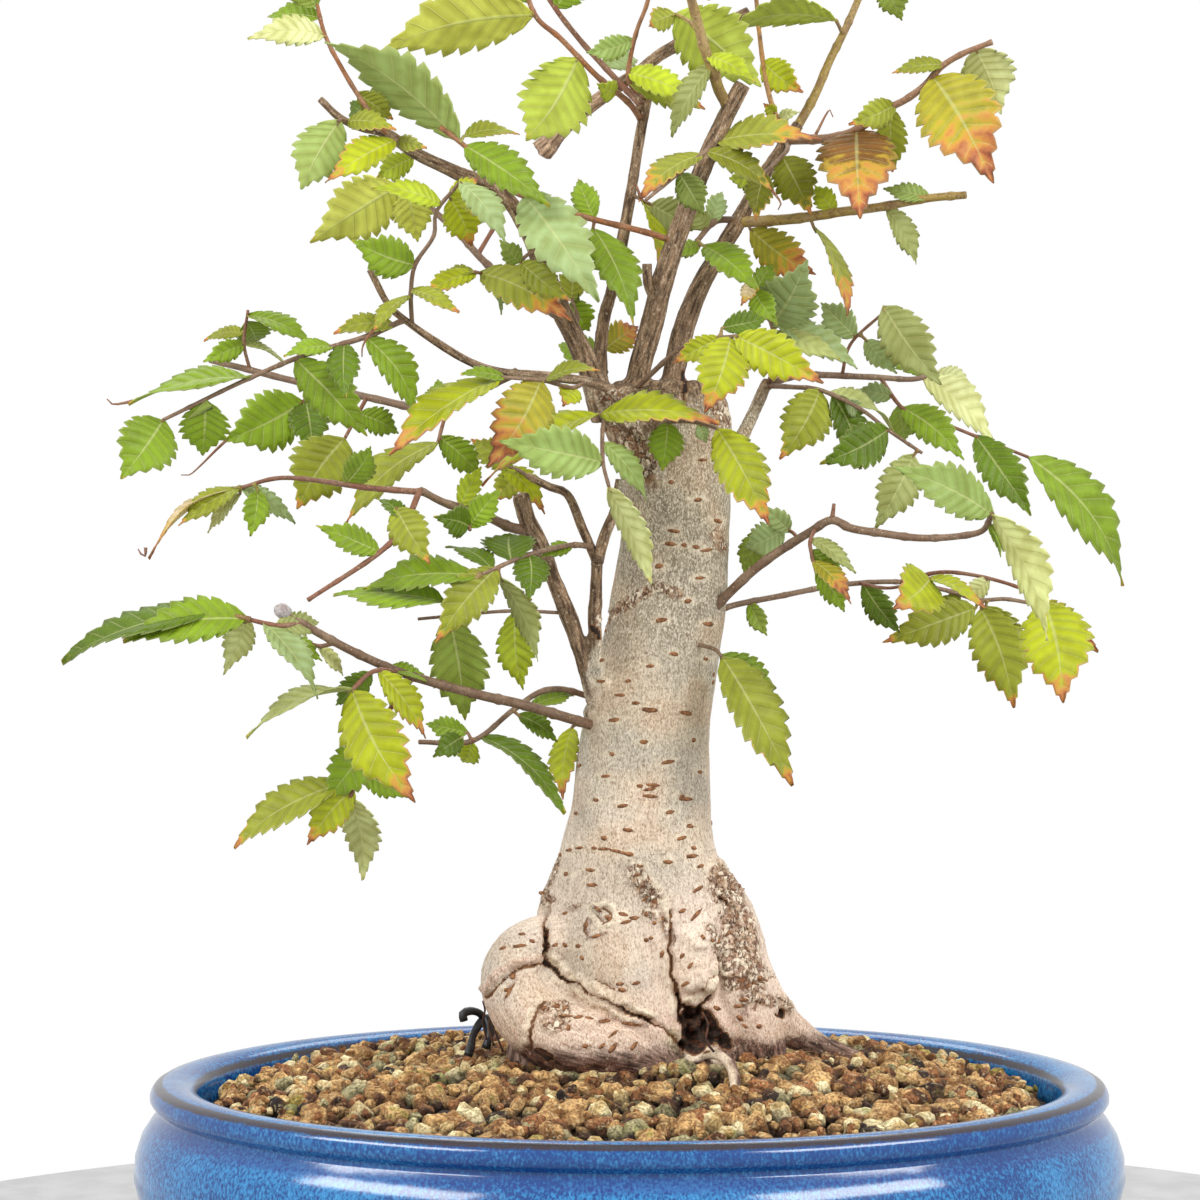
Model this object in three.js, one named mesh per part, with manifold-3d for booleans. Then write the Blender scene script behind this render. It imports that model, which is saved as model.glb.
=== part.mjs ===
// Japanese zelkova bonsai in a glazed oval pot.
// Millimetres, +Z up, the front of the tree towards -Y.
// The origin is the centre of the pot's footprint, on the ground.

import * as THREE from 'three';
import { mergeVertices } from 'three/addons/utils/BufferGeometryUtils.js';
import Module from 'manifold-3d';

const wasm = await Module();
wasm.setup();

// The pot: an oval bowl, so every profile radius is half a width along X.
const OVAL = 0.79;
const POT_SEGMENTS = 32;
const FOOT_HEIGHT = 6;
const FLOOR_TOP = 15;
const RIM_TOP = 72;
const RIM_HALF_WIDTH = 131;
const MOUTH_HALF_WIDTH = 118;
const BASE_HALF_WIDTH = 97;
const BELLY_INSIDE = [121, 46];
const POT_OUTSIDE = [
  [0, FOOT_HEIGHT],
  [BASE_HALF_WIDTH, FOOT_HEIGHT],
  [114, 14],
  [128, 28],
  [135.4, 46],
  [133, 57],
  [128, 63.5],
];
const POT_RIM = [
  [RIM_HALF_WIDTH - 1, 66],
  [RIM_HALF_WIDTH, 69],
  [RIM_HALF_WIDTH - 3.5, RIM_TOP],
  [MOUTH_HALF_WIDTH + 4, RIM_TOP - 0.3],
  [MOUTH_HALF_WIDTH, 69],
];
const POT_INSIDE = [
  [MOUTH_HALF_WIDTH - 1, 62],
  BELLY_INSIDE,
  [BASE_HALF_WIDTH - 2, FLOOR_TOP + 2],
  [0, FLOOR_TOP],
];
const FOOT = { reach: 76, bearing: 38, long: 17, wide: 10, sunk: 3, sides: 14 };
const DRAIN = { offset: 42, radius: 8, sides: 14 };

// The soil: a low dome of coarse grains, from the wall up to the trunk.
const FIT_GAP = 0.3;
const WALL_GAP = 0.6;
const SOIL_HALF_WIDTH = MOUTH_HALF_WIDTH - 1;
const SOIL_AT_WALL = 64.5;
const SOIL_AT_TRUNK = 75.5;
const SOIL_GRAIN = 1.1;
const SOIL_SEED = 7;
const SOIL_RINGS = [0.96, 0.82, 0.68, 0.54, 0.4];
const SOIL_WALL = [
  [0, FLOOR_TOP + FIT_GAP],
  [BASE_HALF_WIDTH - 2 - 2 * FIT_GAP, FLOOR_TOP + 2 + FIT_GAP],
  [BELLY_INSIDE[0] - WALL_GAP, BELLY_INSIDE[1]],
  [SOIL_HALF_WIDTH - WALL_GAP, 62],
  [SOIL_HALF_WIDTH - WALL_GAP / 2, SOIL_AT_WALL],
];

// The view that the routes and leaves were read from: a level eye in front of
// the tree. A point is given by its place in a 1200 x 1200 picture and its depth.
const EYE = { x: -8, y: -798, z: 202.6, focal: 2900, centre: 600 };

// Leaf blades: widest below the middle, with sharp teeth and a notch behind each.
const BLADE_THICKNESS = 0.6;
const BLADE_RATIO = 0.46;
const BLADE_FOLD = 0.24;
const BLADE_ARCH = 0.07;
const STALK_HALF_WIDTH = 0.5;
const SHORT_STALK = 1.6;
const LONG_STALK = 4;
const TEETH = [{ from: 20, count: 3 }, { from: 0, count: 2 }];
const NOTCH = { step: 0.25, reach: 0.78 };
const WIDEST_SHIFT = 0.8;
const EDGE_ROUNDING = 0.8;
const MIDRIB_JOINT = 0.48;
const STALK_END = 0.02;

// Branches that carry leaves start this far off the bark.
const BRANCH_SEAT = 0.3;
const SEAT_STEP = 0.15;
const SEAT_STEPS = 6;
const SEAT_AT_MOST = 0.5;
const TIDY = 0.1;
const BRANCH_SIDES = { thick: 4, thin: 3, limit: 2.4 };

// The trunk from the soil to the crotch: height, centre x, centre y, half width, half depth.
const TRUNK_SIDES = 16;
const TRUNK = [
  [58, 12, 11, 33, 22],
  [76, 12, 10, 33, 21],
  [88, 12, 9, 31, 20],
  [97, 10, 9, 29, 19],
  [106, 7, 8, 29, 19],
  [113, 4.5, 8, 30, 19.5],
  [119.5, 4.3, 7.5, 28.5, 19],
  [128, 2.8, 7, 23.8, 18.5],
  [136, 2.5, 6.5, 21.1, 18],
  [144.5, 3.1, 6, 19.4, 17],
  [164, 4.5, 6, 18, 16],
  [180.5, 7.1, 6, 16.8, 15],
  [202.5, 11.1, 5.5, 16.1, 14],
  [214, 12.4, 5, 15.4, 13.5],
  [230.5, 13.5, 5, 14.8, 13],
  [241.5, 12.1, 5, 16.2, 13.5],
  [252.5, 10.3, 4.5, 18, 13.5],
  [258, 9.5, 4.5, 17.5, 12.5],
  [263, 9.5, 4.5, 13, 9],
];

// Surface roots: picture x, picture y, depth, radius at each point.
const ROOT_SIDES = 7;
const ROOTS = {
  knee: [
    [588, 942, 2, 7], [534, 948, -2, 8.4], [513, 974, -4, 8.8], [524, 1006, -6, 10],
    [562, 1036, -8, 11.5], [612, 1052, -9, 10.5], [655, 1066, -8, 7.5], [690, 1094, -8, 5],
  ],
  front: [
    [614, 880, 4, 10], [612, 945, -1, 14], [624, 990, -3, 13], [646, 1030, -5, 9.5],
    [664, 1090, -5, 7],
  ],
  middle: [[690, 880, 2, 8], [697, 945, -4, 8], [695, 988, -6, 6.5]],
  right: [
    [698, 872, 3, 8], [727, 922, 2, 8.4], [741, 975, 3, 8.8], [772, 1020, 7, 7.4],
    [818, 1046, 15, 4], [860, 1062, 23, 2.4], [884, 1092, 26, 1.6],
  ],
  frontRight: [[728, 945, 0, 8], [744, 1000, -2, 8.6], [760, 1046, -1, 7.4], [768, 1095, 1, 5.5]],
  footLeft: [[585, 950, 3, 9], [556, 985, 1, 10], [538, 1055, 2, 9], [530, 1100, 2, 8]],
  backLeft: [[600, 930, 24, 9], [570, 985, 34, 8], [545, 1030, 40, 5.5], [520, 1075, 46, 3]],
  backRight: [[690, 930, 24, 10], [712, 990, 34, 7.5], [738, 1035, 42, 4.5], [760, 1075, 48, 2.5]],
  stray: [
    [698, 1058, -6, 1.2], [715, 1054, -15, 1.4], [729, 1063, -23, 1.5], [735, 1080, -33, 1.5],
    [734, 1098, -42, 1.3],
  ],
};
const THIN_ROOT = { radius: 2, sides: 5 };
const HOLLOW = { at: [701, 1030, -12], halfWidth: 5, halfDepth: 9, halfHeight: 7.5, turns: 8, rows: 6 };

// Limbs grown as one with the trunk: width at the start and the end, then picture x,
// picture y and depth along the middle.
const LIMB_SIDES = { thick: 7, thin: 5, limit: 4 };
const LIMBS = {
  left: {
    widths: [7.4, 2],
    route: [
      [607, 418, 2], [590, 370, -2], [562, 312, -7], [545, 275, -11], [530, 235, -14],
      [505, 197, -17], [455, 172, -22], [415, 153, -26], [385, 133, -29], [360, 127, -32],
      [340, 118, -34], [320, 99, -37],
    ],
  },
  middle: {
    widths: [4.2, 2.7],
    route: [
      [604, 412, 6], [600, 365, 8], [604, 318, 10], [612, 290, 11], [628, 210, 13], [641, 130, 15],
      [651, 82, 17],
    ],
  },
  behind: {
    widths: [4.4, 3.2],
    route: [[541, 152, 26], [575, 118, 25], [605, 95, 25], [638, 72, 22], [665, 52, 24], [748, 12, 30]],
  },
  behindFork: { widths: [2.6, 2.4], route: [[641, 112, 15], [639, 90, 19], [640, 72, 23]] },
  centre: {
    widths: [7, 4.6],
    route: [
      [640, 422, 3], [637, 385, 1], [652, 325, -3], [663, 280, -6], [683, 220, -10],
      [706, 160, -12], [728, 112, -14], [743, 84, -15],
    ],
  },
  centreStub: { widths: [3, 2.6], route: [[655, 300, -4], [648, 282, -7], [647, 264, -8]] },
  right: {
    widths: [7.4, 3.4],
    route: [
      [668, 425, 3], [674, 375, 3], [682, 335, 4], [701, 285, 7], [736, 225, 12], [770, 165, 17],
      [798, 125, 20],
    ],
  },
  lowLeft: {
    widths: [3, 1.7],
    route: [
      [622, 400, -4], [600, 385, -12], [545, 376, -22], [500, 372, -28], [470, 362, -32],
      [430, 338, -37], [405, 320, -40], [390, 307, -42], [370, 270, -46],
    ],
  },
  stemBack: {
    widths: [4.9, 4.5],
    route: [
      [610, 725, 6], [592, 690, -3], [583, 660, -7], [570, 620, -11], [550, 570, -16],
      [540, 545, -19], [527, 520, -22], [520, 495, -24],
    ],
  },
  stemFront: {
    widths: [4.8, 3.6],
    route: [[610, 700, 0], [598, 668, -6], [595, 630, -10], [596, 595, -13], [597, 560, -16]],
  },
  stemFrontLeft: {
    widths: [2.8, 1.9],
    route: [[597, 562, -16], [583, 530, -15], [567, 494, -12], [550, 487, -8], [528, 476, -3]],
  },
  stemFrontRight: {
    widths: [3.4, 2.6],
    route: [[597, 562, -16], [605, 535, -17], [615, 510, -19], [620, 480, -21]],
  },
  rightBack: {
    widths: [4.4, 3.6],
    route: [[716, 486, 12], [738, 445, 15], [755, 410, 19], [768, 380, 22]],
  },
};

// Leafy branches and twigs. The main route starts on the wood, and each side route
// starts on the main one. A leaf is its base, its tip and its width as seen, how far
// its tip lies behind its base, and 1 where its upper face shows or -1 its underside.
const BRANCHES = {
  lowest: {
    widths: [3.1, 2.3],
    route: [
      [600, 728, 2], [578, 721, -5], [520, 704, -15], [480, 695, -23], [400, 672, -37],
      [350, 650, -46], [310, 628, -52], [283, 612, -56],
    ],
    sides: [
      { widths: [1.6, 1.2], route: [[300, 622, -54], [280, 626, -58], [247, 619, -59]] },
      { widths: [1.3, 1.1], route: [[335, 642, -49], [318, 646, -45], [302, 640, -43]] },
      { widths: [1.6, 1.2], route: [[400, 672, -37], [372, 672, -48], [352, 690, -53]] },
      { widths: [1.6, 1.1], route: [[414, 676, -35], [374, 735, -40], [350, 798, -46]] },
    ],
    leaves: [
      [248, 618, 122, 638, 46, -3, 1], [212, 611, 60, 659, 27, 9, 1],
      [248, 624, 224, 672, 32, 9, -1], [262, 626, 323, 692, 27, -6, 1],
      [292, 638, 321, 660, 20, -4, 1], [316, 646, 346, 674, 15, 5, 1],
      [370, 672, 335, 706, 30, 8, 1], [353, 691, 415, 802, 66, -7, 1],
      [349, 691, 243, 728, 9, -9, 1], [378, 668, 427, 738, 30, 7, 1],
      [392, 664, 434, 680, 14, 8, 1], [274, 622, 322, 620, 26, 10, 1],
      [370, 738, 324, 803, 47, -8, 1], [363, 770, 408, 798, 28, 5, 1],
      [354, 786, 307, 845, 38, -3, 1], [348, 800, 364, 878, 38, 9, -1],
      [340, 784, 229, 841, 38, 3, 1],
    ],
  },
  lowest_thin: {
    widths: [1.9, 1.4],
    route: [
      [600, 700, 6], [560, 689, 0], [540, 692, -3], [513, 710, -7], [472, 741, -14],
      [419, 742, -21],
    ],
    sides: [],
    leaves: [
      [468, 733, 425, 724, 24, 6, 1], [462, 737, 434, 756, 26, -5, 1],
      [470, 742, 462, 764, 26, 9, 1], [478, 733, 567, 810, 24, -10, 1],
      [518, 715, 558, 742, 22, 5, 1], [530, 707, 574, 692, 15, 8, 1],
    ],
  },
  trunk_left: {
    widths: [1.3, 1],
    route: [[596, 716, 10], [580, 722, 11], [572, 727, 11]],
    sides: [],
    leaves: [[573, 727, 562, 798, 30, -9, 1]],
  },
  stem_left: {
    widths: [1.8, 1.1],
    route: [[592, 547, -16], [575, 545, -24], [546, 550, -33], [520, 558, -39], [478, 576, -46]],
    sides: [],
    leaves: [
      [572, 546, 540, 556, 16, -6, 1], [512, 560, 511, 532, 56, 16, 1],
      [528, 557, 529, 598, 38, -9, 1], [495, 568, 436, 642, 46, -8, 1],
      [474, 580, 362, 583, 32, 3, 1], [492, 566, 446, 545, 18, 12, 1],
      [444, 602, 333, 592, 30, 9, 1], [500, 577, 542, 658, 25, 3, -1],
    ],
  },
  stem_low: {
    widths: [1.2, 1],
    route: [[566, 613, -11], [510, 611, -19], [450, 616, -27], [418, 619, -30]],
    sides: [],
    leaves: [[513, 613, 523, 691, 40, 5, 1], [452, 618, 465, 720, 60, 12, 1]],
  },
  stem_fork: {
    widths: [3.2, 2],
    route: [[534, 532, -20], [510, 527, -24], [480, 513, -30], [445, 503, -36], [420, 490, -41]],
    sides: [
      { widths: [1.8, 1.2], route: [[422, 491, -41], [402, 530, -47], [380, 552, -50], [308, 600, -59]] },
      { widths: [1.2, 1], route: [[466, 509, -32], [470, 530, -40]] },
      { widths: [1.9, 1.1], route: [[424, 492, -40], [370, 488, -34], [280, 478, -25], [240, 488, -22]] },
    ],
    leaves: [
      [396, 508, 429, 562, 42, -7, 1], [380, 552, 318, 524, 30, -5, 1],
      [402, 522, 378, 496, 16, 5, 1], [464, 526, 438, 518, 34, -12, 1],
      [472, 524, 501, 489, 30, -2, 1], [458, 508, 482, 466, 24, 3, 1],
      [242, 486, 177, 522, 22, -6, 1], [240, 494, 206, 532, 18, 5, 1],
      [238, 487, 298, 521, 22, 7, 1], [258, 490, 250, 536, 28, -3, 1],
      [232, 488, 142, 550, 5, 3, 1], [344, 487, 371, 446, 32, 6, 1],
    ],
  },
  stem_end: {
    widths: [1.3, 1],
    route: [[532, 480, -4], [518, 470, -1], [502, 466, 1]],
    sides: [],
    leaves: [
      [503, 467, 546, 511, 26, -5, 1], [512, 468, 470, 438, 30, 5, 1],
      [516, 471, 494, 500, 28, 4, 1],
    ],
  },
  crotch_front: {
    widths: [1.4, 1],
    route: [[585, 382, -15], [572, 388, -24], [545, 381, -33], [500, 377, -40]],
    sides: [],
    leaves: [
      [543, 379, 488, 466, 62, -9, 1], [574, 386, 563, 406, 26, -7, 1],
      [546, 376, 598, 366, 13, -4, 1], [500, 377, 388, 453, 36, -9, 1],
      [504, 374, 461, 373, 13, -5, 1],
    ],
  },
  near: {
    widths: [1.6, 1],
    route: [[628, 432, -4], [606, 416, -22], [603, 462, -36], [609, 487, -40]],
    sides: [],
    leaves: [
      [602, 462, 500, 441, 54, -8, 1], [598, 414, 478, 480, 27, 4, 1],
      [608, 487, 653, 584, 32, -4, -1], [604, 440, 648, 500, 26, 5, 1],
      [600, 414, 719, 418, 30, -8, 1],
    ],
  },
  trunk_front: {
    widths: [1.4, 1],
    route: [[655, 428, -6], [668, 422, -18], [694, 422, -22], [717, 428, -24]],
    sides: [],
    leaves: [
      [668, 424, 662, 471, 38, 1, 1], [698, 423, 707, 443, 15, 1, 1],
      [718, 430, 769, 524, 52, -4, 1],
    ],
  },
  grey: {
    widths: [1.7, 1.2],
    route: [[634, 392, -1], [650, 375, -12], [690, 343, -22], [736, 336, -29]],
    sides: [],
    leaves: [
      [722, 332, 672, 362, 24, 2, 1], [731, 338, 705, 412, 54, -6, 1],
      [737, 335, 822, 382, 48, -7, 1], [722, 328, 768, 318, 26, 8, 1],
      [738, 342, 741, 378, 26, 12, 1],
    ],
  },
  left_long: {
    widths: [1.7, 1],
    route: [[404, 320, -40], [365, 337, -46], [305, 355, -51], [250, 378, -56], [163, 420, -65]],
    sides: [],
    leaves: [
      [250, 378, 128, 402, 18, -9, 1], [163, 421, 121, 478, 62, -9, 1],
      [207, 400, 202, 457, 52, 8, 1], [296, 360, 368, 437, 50, 6, 1],
      [347, 346, 345, 398, 34, -7, 1], [368, 340, 421, 417, 36, 11, 1],
      [334, 345, 284, 356, 17, -8, 1], [395, 326, 334, 329, 20, -5, 1],
    ],
  },
  rising: {
    widths: [1.3, 1],
    route: [
      [412, 325, -39], [411, 290, -45], [415, 265, -47], [434, 235, -49], [436, 213, -49],
      [460, 182, -52],
    ],
    sides: [],
    leaves: [
      [442, 202, 372, 188, 24, -8, 1], [417, 265, 352, 240, 44, -7, 1],
      [458, 182, 508, 240, 30, -5, 1], [412, 296, 372, 331, 14, -5, 1],
      [414, 288, 459, 311, 16, -7, 1], [450, 196, 478, 178, 20, 5, 1],
    ],
  },
  low_left_back: {
    widths: [2.6, 1.9],
    route: [
      [516, 373, -25], [484, 388, -16], [452, 402, -7], [420, 408, 2], [380, 400, 9],
      [345, 392, 15], [290, 380, 24], [250, 370, 30], [210, 360, 36],
    ],
    sides: [
      { widths: [1.2, 0.9], route: [[250, 370, 30], [244, 344, 30], [248, 310, 29]] },
      { widths: [1.3, 1], route: [[316, 385, 20], [303, 402, 14]] },
      { widths: [1.3, 1], route: [[365, 396, 11], [345, 438, 4]] },
      { widths: [1.3, 1], route: [[446, 404, -6], [438, 442, -12]] },
    ],
    leaves: [
      [249, 319, 311, 340, 19, -4, 1], [246, 320, 256, 344, 38, 12, 1],
      [243, 334, 203, 340, 14, 5, 1], [243, 345, 204, 361, 23, -5, 1],
      [245, 344, 286, 359, 8, 5, 1], [303, 402, 224, 441, 62, -5, 1],
      [306, 402, 313, 454, 42, -6, 1], [345, 440, 297, 509, 66, -4, 1],
      [358, 412, 400, 434, 30, 5, 1], [438, 444, 345, 521, 34, -4, 1],
      [442, 436, 482, 479, 32, 4, 1], [444, 418, 438, 378, 34, 7, 1],
    ],
  },
  left_back: {
    widths: [2.7, 2],
    route: [[572, 330, -4], [545, 306, 3], [488, 265, 14], [460, 235, 20], [432, 209, 26]],
    sides: [
      { widths: [1.5, 1.2], route: [[478, 256, 16], [499, 219, 23]] },
      { widths: [1.3, 1], route: [[500, 274, 11], [490, 275, -2], [475, 272, -15]] },
    ],
    leaves: [
      [480, 271, 571, 320, 46, -12, 1], [476, 273, 423, 296, 22, -6, 1],
      [476, 268, 437, 279, 12, 5, 1], [490, 280, 504, 312, 10, -4, 1],
    ],
  },
  left_middle: {
    widths: [1.3, 1],
    route: [[536, 250, -13], [526, 256, -19], [520, 262, -22]],
    sides: [],
    leaves: [[522, 262, 569, 300, 32, -5, 1], [519, 262, 500, 240, 22, -4, 1]],
  },
  left_low: {
    widths: [1.2, 1],
    route: [[572, 330, -5], [578, 318, 1], [572, 300, 4]],
    sides: [],
    leaves: [[572, 298, 590, 332, 34, 5, 1], [570, 300, 578, 262, 30, 4, 1]],
  },
  left_top_back: {
    widths: [1.3, 1],
    route: [[462, 175, -21], [458, 188, -12], [450, 198, -8]],
    sides: [],
    leaves: [[446, 200, 472, 247, 40, 5, 1], [458, 190, 492, 221, 26, -6, 1]],
  },
  left_end: {
    widths: [1.3, 1],
    route: [[352, 124, -32], [342, 120, -37], [338, 121, -39]],
    sides: [],
    leaves: [[339, 120, 300, 190, 54, -5, -1], [346, 122, 394, 126, 22, -7, 1]],
  },
  left_end_low: {
    widths: [1.3, 1],
    route: [[402, 146, -27], [398, 142, -33], [396, 140, -36]],
    sides: [],
    leaves: [[396, 139, 325, 180, 34, -8, 1], [400, 138, 425, 147, 17, -5, 1]],
  },
  left_end_back: {
    widths: [1.3, 1],
    route: [[420, 156, -25], [412, 158, -19], [402, 166, -14], [396, 180, -10]],
    sides: [],
    leaves: [
      [412, 154, 377, 178, 28, 7, 1], [398, 186, 312, 241, 64, 9, -1],
      [406, 188, 418, 242, 40, 5, 1],
    ],
  },
  left_end_top: {
    widths: [1.5, 1.1],
    route: [
      [388, 136, -29], [376, 121, -32], [360, 98, -34], [344, 72, -36], [325, 35, -38],
      [316, 0, -39],
    ],
    sides: [],
    leaves: [
      [326, 32, 248, 37, 32, -5, 1], [378, 122, 349, 102, 28, 7, 1], [362, 92, 393, 120, 28, 8, 1],
      [320, 16, 266, 14, 26, 9, 1], [316, 0, 344, -58, 38, 6, 1], [318, 6, 280, -44, 38, -5, 1],
    ],
  },
  across: {
    widths: [1.9, 1.5],
    route: [
      [676, 242, -9], [645, 232, -13], [600, 221, -15], [560, 210, -18], [535, 200, -20],
      [505, 187, -24], [480, 160, -29], [460, 142, -31], [440, 127, -33],
    ],
    sides: [],
    leaves: [
      [461, 137, 328, 37, 52, -12, -1], [466, 140, 551, 204, 42, -3, 1],
      [464, 136, 520, 133, 16, 8, 1], [524, 196, 598, 297, 64, -17, 1],
      [520, 188, 515, 172, 14, -3, -1], [593, 228, 637, 320, 42, -11, 1],
      [598, 218, 577, 176, 28, 7, 1],
    ],
  },
  crotch_back: {
    widths: [1.3, 1],
    route: [[606, 372, 9], [602, 362, 17], [604, 350, 21]],
    sides: [],
    leaves: [[606, 345, 640, 325, 34, 8, 1], [602, 352, 556, 344, 36, 9, 1]],
  },
  middle_side: {
    widths: [1.2, 0.9],
    route: [[633, 195, 13], [642, 200, 8], [650, 204, 6]],
    sides: [],
    leaves: [[648, 203, 698, 230, 40, 5, 1], [643, 200, 660, 266, 18, -9, 1]],
  },
  orange: {
    widths: [1.9, 1.3],
    route: [[640, 118, 15], [628, 102, 8], [598, 77, 4], [560, 38, 0], [535, 15, -2], [516, -60, -4]],
    sides: [],
    leaves: [
      [534, 15, 380, 50, 66, -10, -1], [577, 58, 524, 142, 76, -13, -1],
      [617, 92, 598, 84, 24, -9, 1], [530, 4, 470, -64, 42, 9, 1], [520, -45, 566, -92, 44, -8, 1],
      [516, -60, 488, -128, 40, -4, 1],
    ],
  },
  red: {
    widths: [2, 1.4],
    route: [[641, 106, 15], [630, 94, 20], [600, 62, 23], [580, 40, 25], [550, 0, 28], [532, -40, 30]],
    sides: [],
    leaves: [
      [606, 66, 640, 58, 26, 14, 1], [556, 8, 592, -38, 40, 7, 1], [540, -22, 478, -28, 36, 6, 1],
      [532, -40, 542, -112, 42, 3, 1],
    ],
  },
  middle_top: {
    widths: [1.5, 1.1],
    route: [
      [646, 98, 16], [634, 90, 7], [628, 78, 3], [630, 60, 1], [637, 30, -2], [648, 0, -4],
      [658, -80, -5],
    ],
    sides: [],
    leaves: [
      [630, 37, 586, 53, 26, 5, 1], [633, 74, 696, 97, 30, -5, 1], [634, 82, 706, 108, 32, 6, 1],
      [650, -8, 606, -48, 38, -6, 1], [656, -44, 704, -96, 40, -7, 1],
      [658, -80, 634, -150, 40, -3, 1],
    ],
  },
  centre_shoot: {
    widths: [3.4, 1.6],
    route: [
      [728, 106, -14], [719, 90, -16], [713, 70, -18], [705, 50, -20], [697, 20, -22],
      [688, -12, -24], [674, -60, -24], [664, -112, -22], [646, -160, -26],
    ],
    sides: [
      { widths: [1.3, 1], route: [[702, 40, -21], [690, 22, -12], [676, 14, -6]] },
      { widths: [1.4, 1], route: [[680, -40, -24], [704, -76, -30]] },
    ],
    leaves: [
      [676, 14, 760, 86, 76, 8, -1], [674, 12, 648, 27, 26, -6, -1], [704, 58, 756, 79, 22, -7, 1],
      [708, 66, 668, 136, 26, 9, 1], [664, -112, 716, -152, 42, -6, 1],
      [652, -148, 600, -186, 42, 6, 1], [646, -160, 660, -206, 40, 10, 1],
      [698, -64, 746, -84, 36, 8, 1], [704, -76, 724, -132, 40, 4, 1],
      [688, -30, 708, -2, 30, -6, 1],
    ],
  },
  centre_twig: {
    widths: [1.5, 1],
    route: [[716, 140, -12], [706, 151, -20], [690, 164, -23], [646, 200, -29]],
    sides: [],
    leaves: [
      [714, 142, 820, 134, 30, -6, 1], [702, 153, 638, 200, 26, -6, 1],
      [706, 153, 774, 191, 27, 3, 1], [682, 174, 704, 214, 32, 4, 1],
    ],
  },
  right_limb_low: {
    widths: [1.5, 1],
    route: [[787, 142, 18], [786, 152, 8], [762, 176, 0]],
    sides: [],
    leaves: [
      [784, 157, 811, 214, 46, -7, 1], [764, 175, 756, 220, 30, -4, 1],
      [758, 178, 728, 178, 24, 4, 1],
    ],
  },
  right_shoot: {
    widths: [3, 1.6],
    route: [
      [796, 129, 20], [815, 95, 22], [830, 60, 24], [845, 30, 26], [858, 0, 28], [872, -36, 30],
      [880, -74, 31], [878, -120, 27],
    ],
    sides: [
      { widths: [1.4, 1], route: [[842, 37, 26], [836, 20, 16]] },
      { widths: [1.5, 1], route: [[866, -20, 29], [904, -30, 20]] },
    ],
    leaves: [
      [836, 20, 717, 28, 27, -8, -1], [881, -90, 940, -112, 40, -6, 1],
      [880, -104, 832, -138, 42, 7, 1], [878, -120, 896, -178, 40, -3, 1],
      [904, -30, 966, -22, 40, -7, 1], [892, -28, 916, -78, 34, -5, 1],
      [886, -27, 902, 20, 32, 5, 1],
    ],
  },
  yellow: {
    widths: [1.7, 1.2],
    route: [
      [794, 132, 18], [778, 119, 15], [772, 105, 15], [765, 75, 18], [759, 30, 22], [752, -60, 22],
    ],
    sides: [],
    leaves: [
      [768, 62, 803, 92, 34, -5, 1], [776, 114, 764, 104, 14, -3, 1],
      [780, 117, 799, 112, 12, -5, 1], [755, -12, 804, -50, 40, -6, 1],
      [752, -60, 778, -126, 40, 5, 1], [753, -36, 712, -20, 26, 8, 1],
    ],
  },
  right_knot: {
    widths: [2.2, 1.6],
    route: [[738, 220, 12], [716, 221, 8], [697, 241, 3]],
    sides: [],
    leaves: [
      [710, 222, 722, 190, 22, 6, 1], [704, 228, 688, 206, 22, -4, 1],
      [704, 246, 758, 288, 32, -15, 1], [700, 246, 668, 252, 18, -3, 1],
    ],
  },
  far: {
    widths: [3.4, 2.2],
    route: [
      [738, 222, 12], [765, 221, 9], [800, 218, 4], [840, 212, -2], [880, 207, -8], [930, 198, -14],
      [966, 195, -18],
    ],
    sides: [],
    leaves: [
      [814, 228, 852, 314, 14, -5, 1], [750, 229, 816, 275, 44, 8, 1],
      [833, 208, 814, 184, 24, 5, 1], [932, 195, 883, 188, 20, 6, 1],
      [886, 210, 918, 263, 24, 6, 1],
    ],
  },
  far_upper: {
    widths: [3, 1.6],
    route: [
      [786, 140, 18], [830, 138, 8], [860, 128, -2], [885, 110, -6], [905, 100, -9], [925, 85, -12],
      [940, 68, -14], [960, 55, -17], [992, 42, -21],
    ],
    sides: [],
    leaves: [
      [857, 131, 860, 214, 80, -20, 1], [893, 108, 893, 174, 34, 8, 1],
      [894, 104, 850, 124, 30, -5, 1], [936, 76, 991, 179, 84, -14, 1],
      [944, 66, 892, 73, 18, 3, 1], [976, 50, 1001, 113, 56, 6, -1],
    ],
  },
  cluster: {
    widths: [1.8, 1],
    route: [[768, 388, 22], [776, 352, 13], [770, 320, 6], [750, 283, -2]],
    sides: [],
    leaves: [
      [776, 322, 806, 262, 62, -14, 1], [778, 326, 858, 368, 30, 3, 1],
      [777, 334, 840, 356, 24, -7, 1], [756, 288, 777, 323, 28, -7, 1],
      [748, 283, 742, 304, 16, -5, 1], [757, 290, 774, 262, 22, 5, 1],
    ],
  },
  right_back: {
    widths: [2.3, 1.5],
    route: [[762, 390, 21], [790, 377, 24], [870, 377, 34], [915, 379, 40], [936, 372, 46]],
    sides: [
      { widths: [1.2, 0.9], route: [[840, 377, 30], [850, 345, 26], [884, 312, 20]] },
      {
        widths: [1.3, 1],
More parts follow.
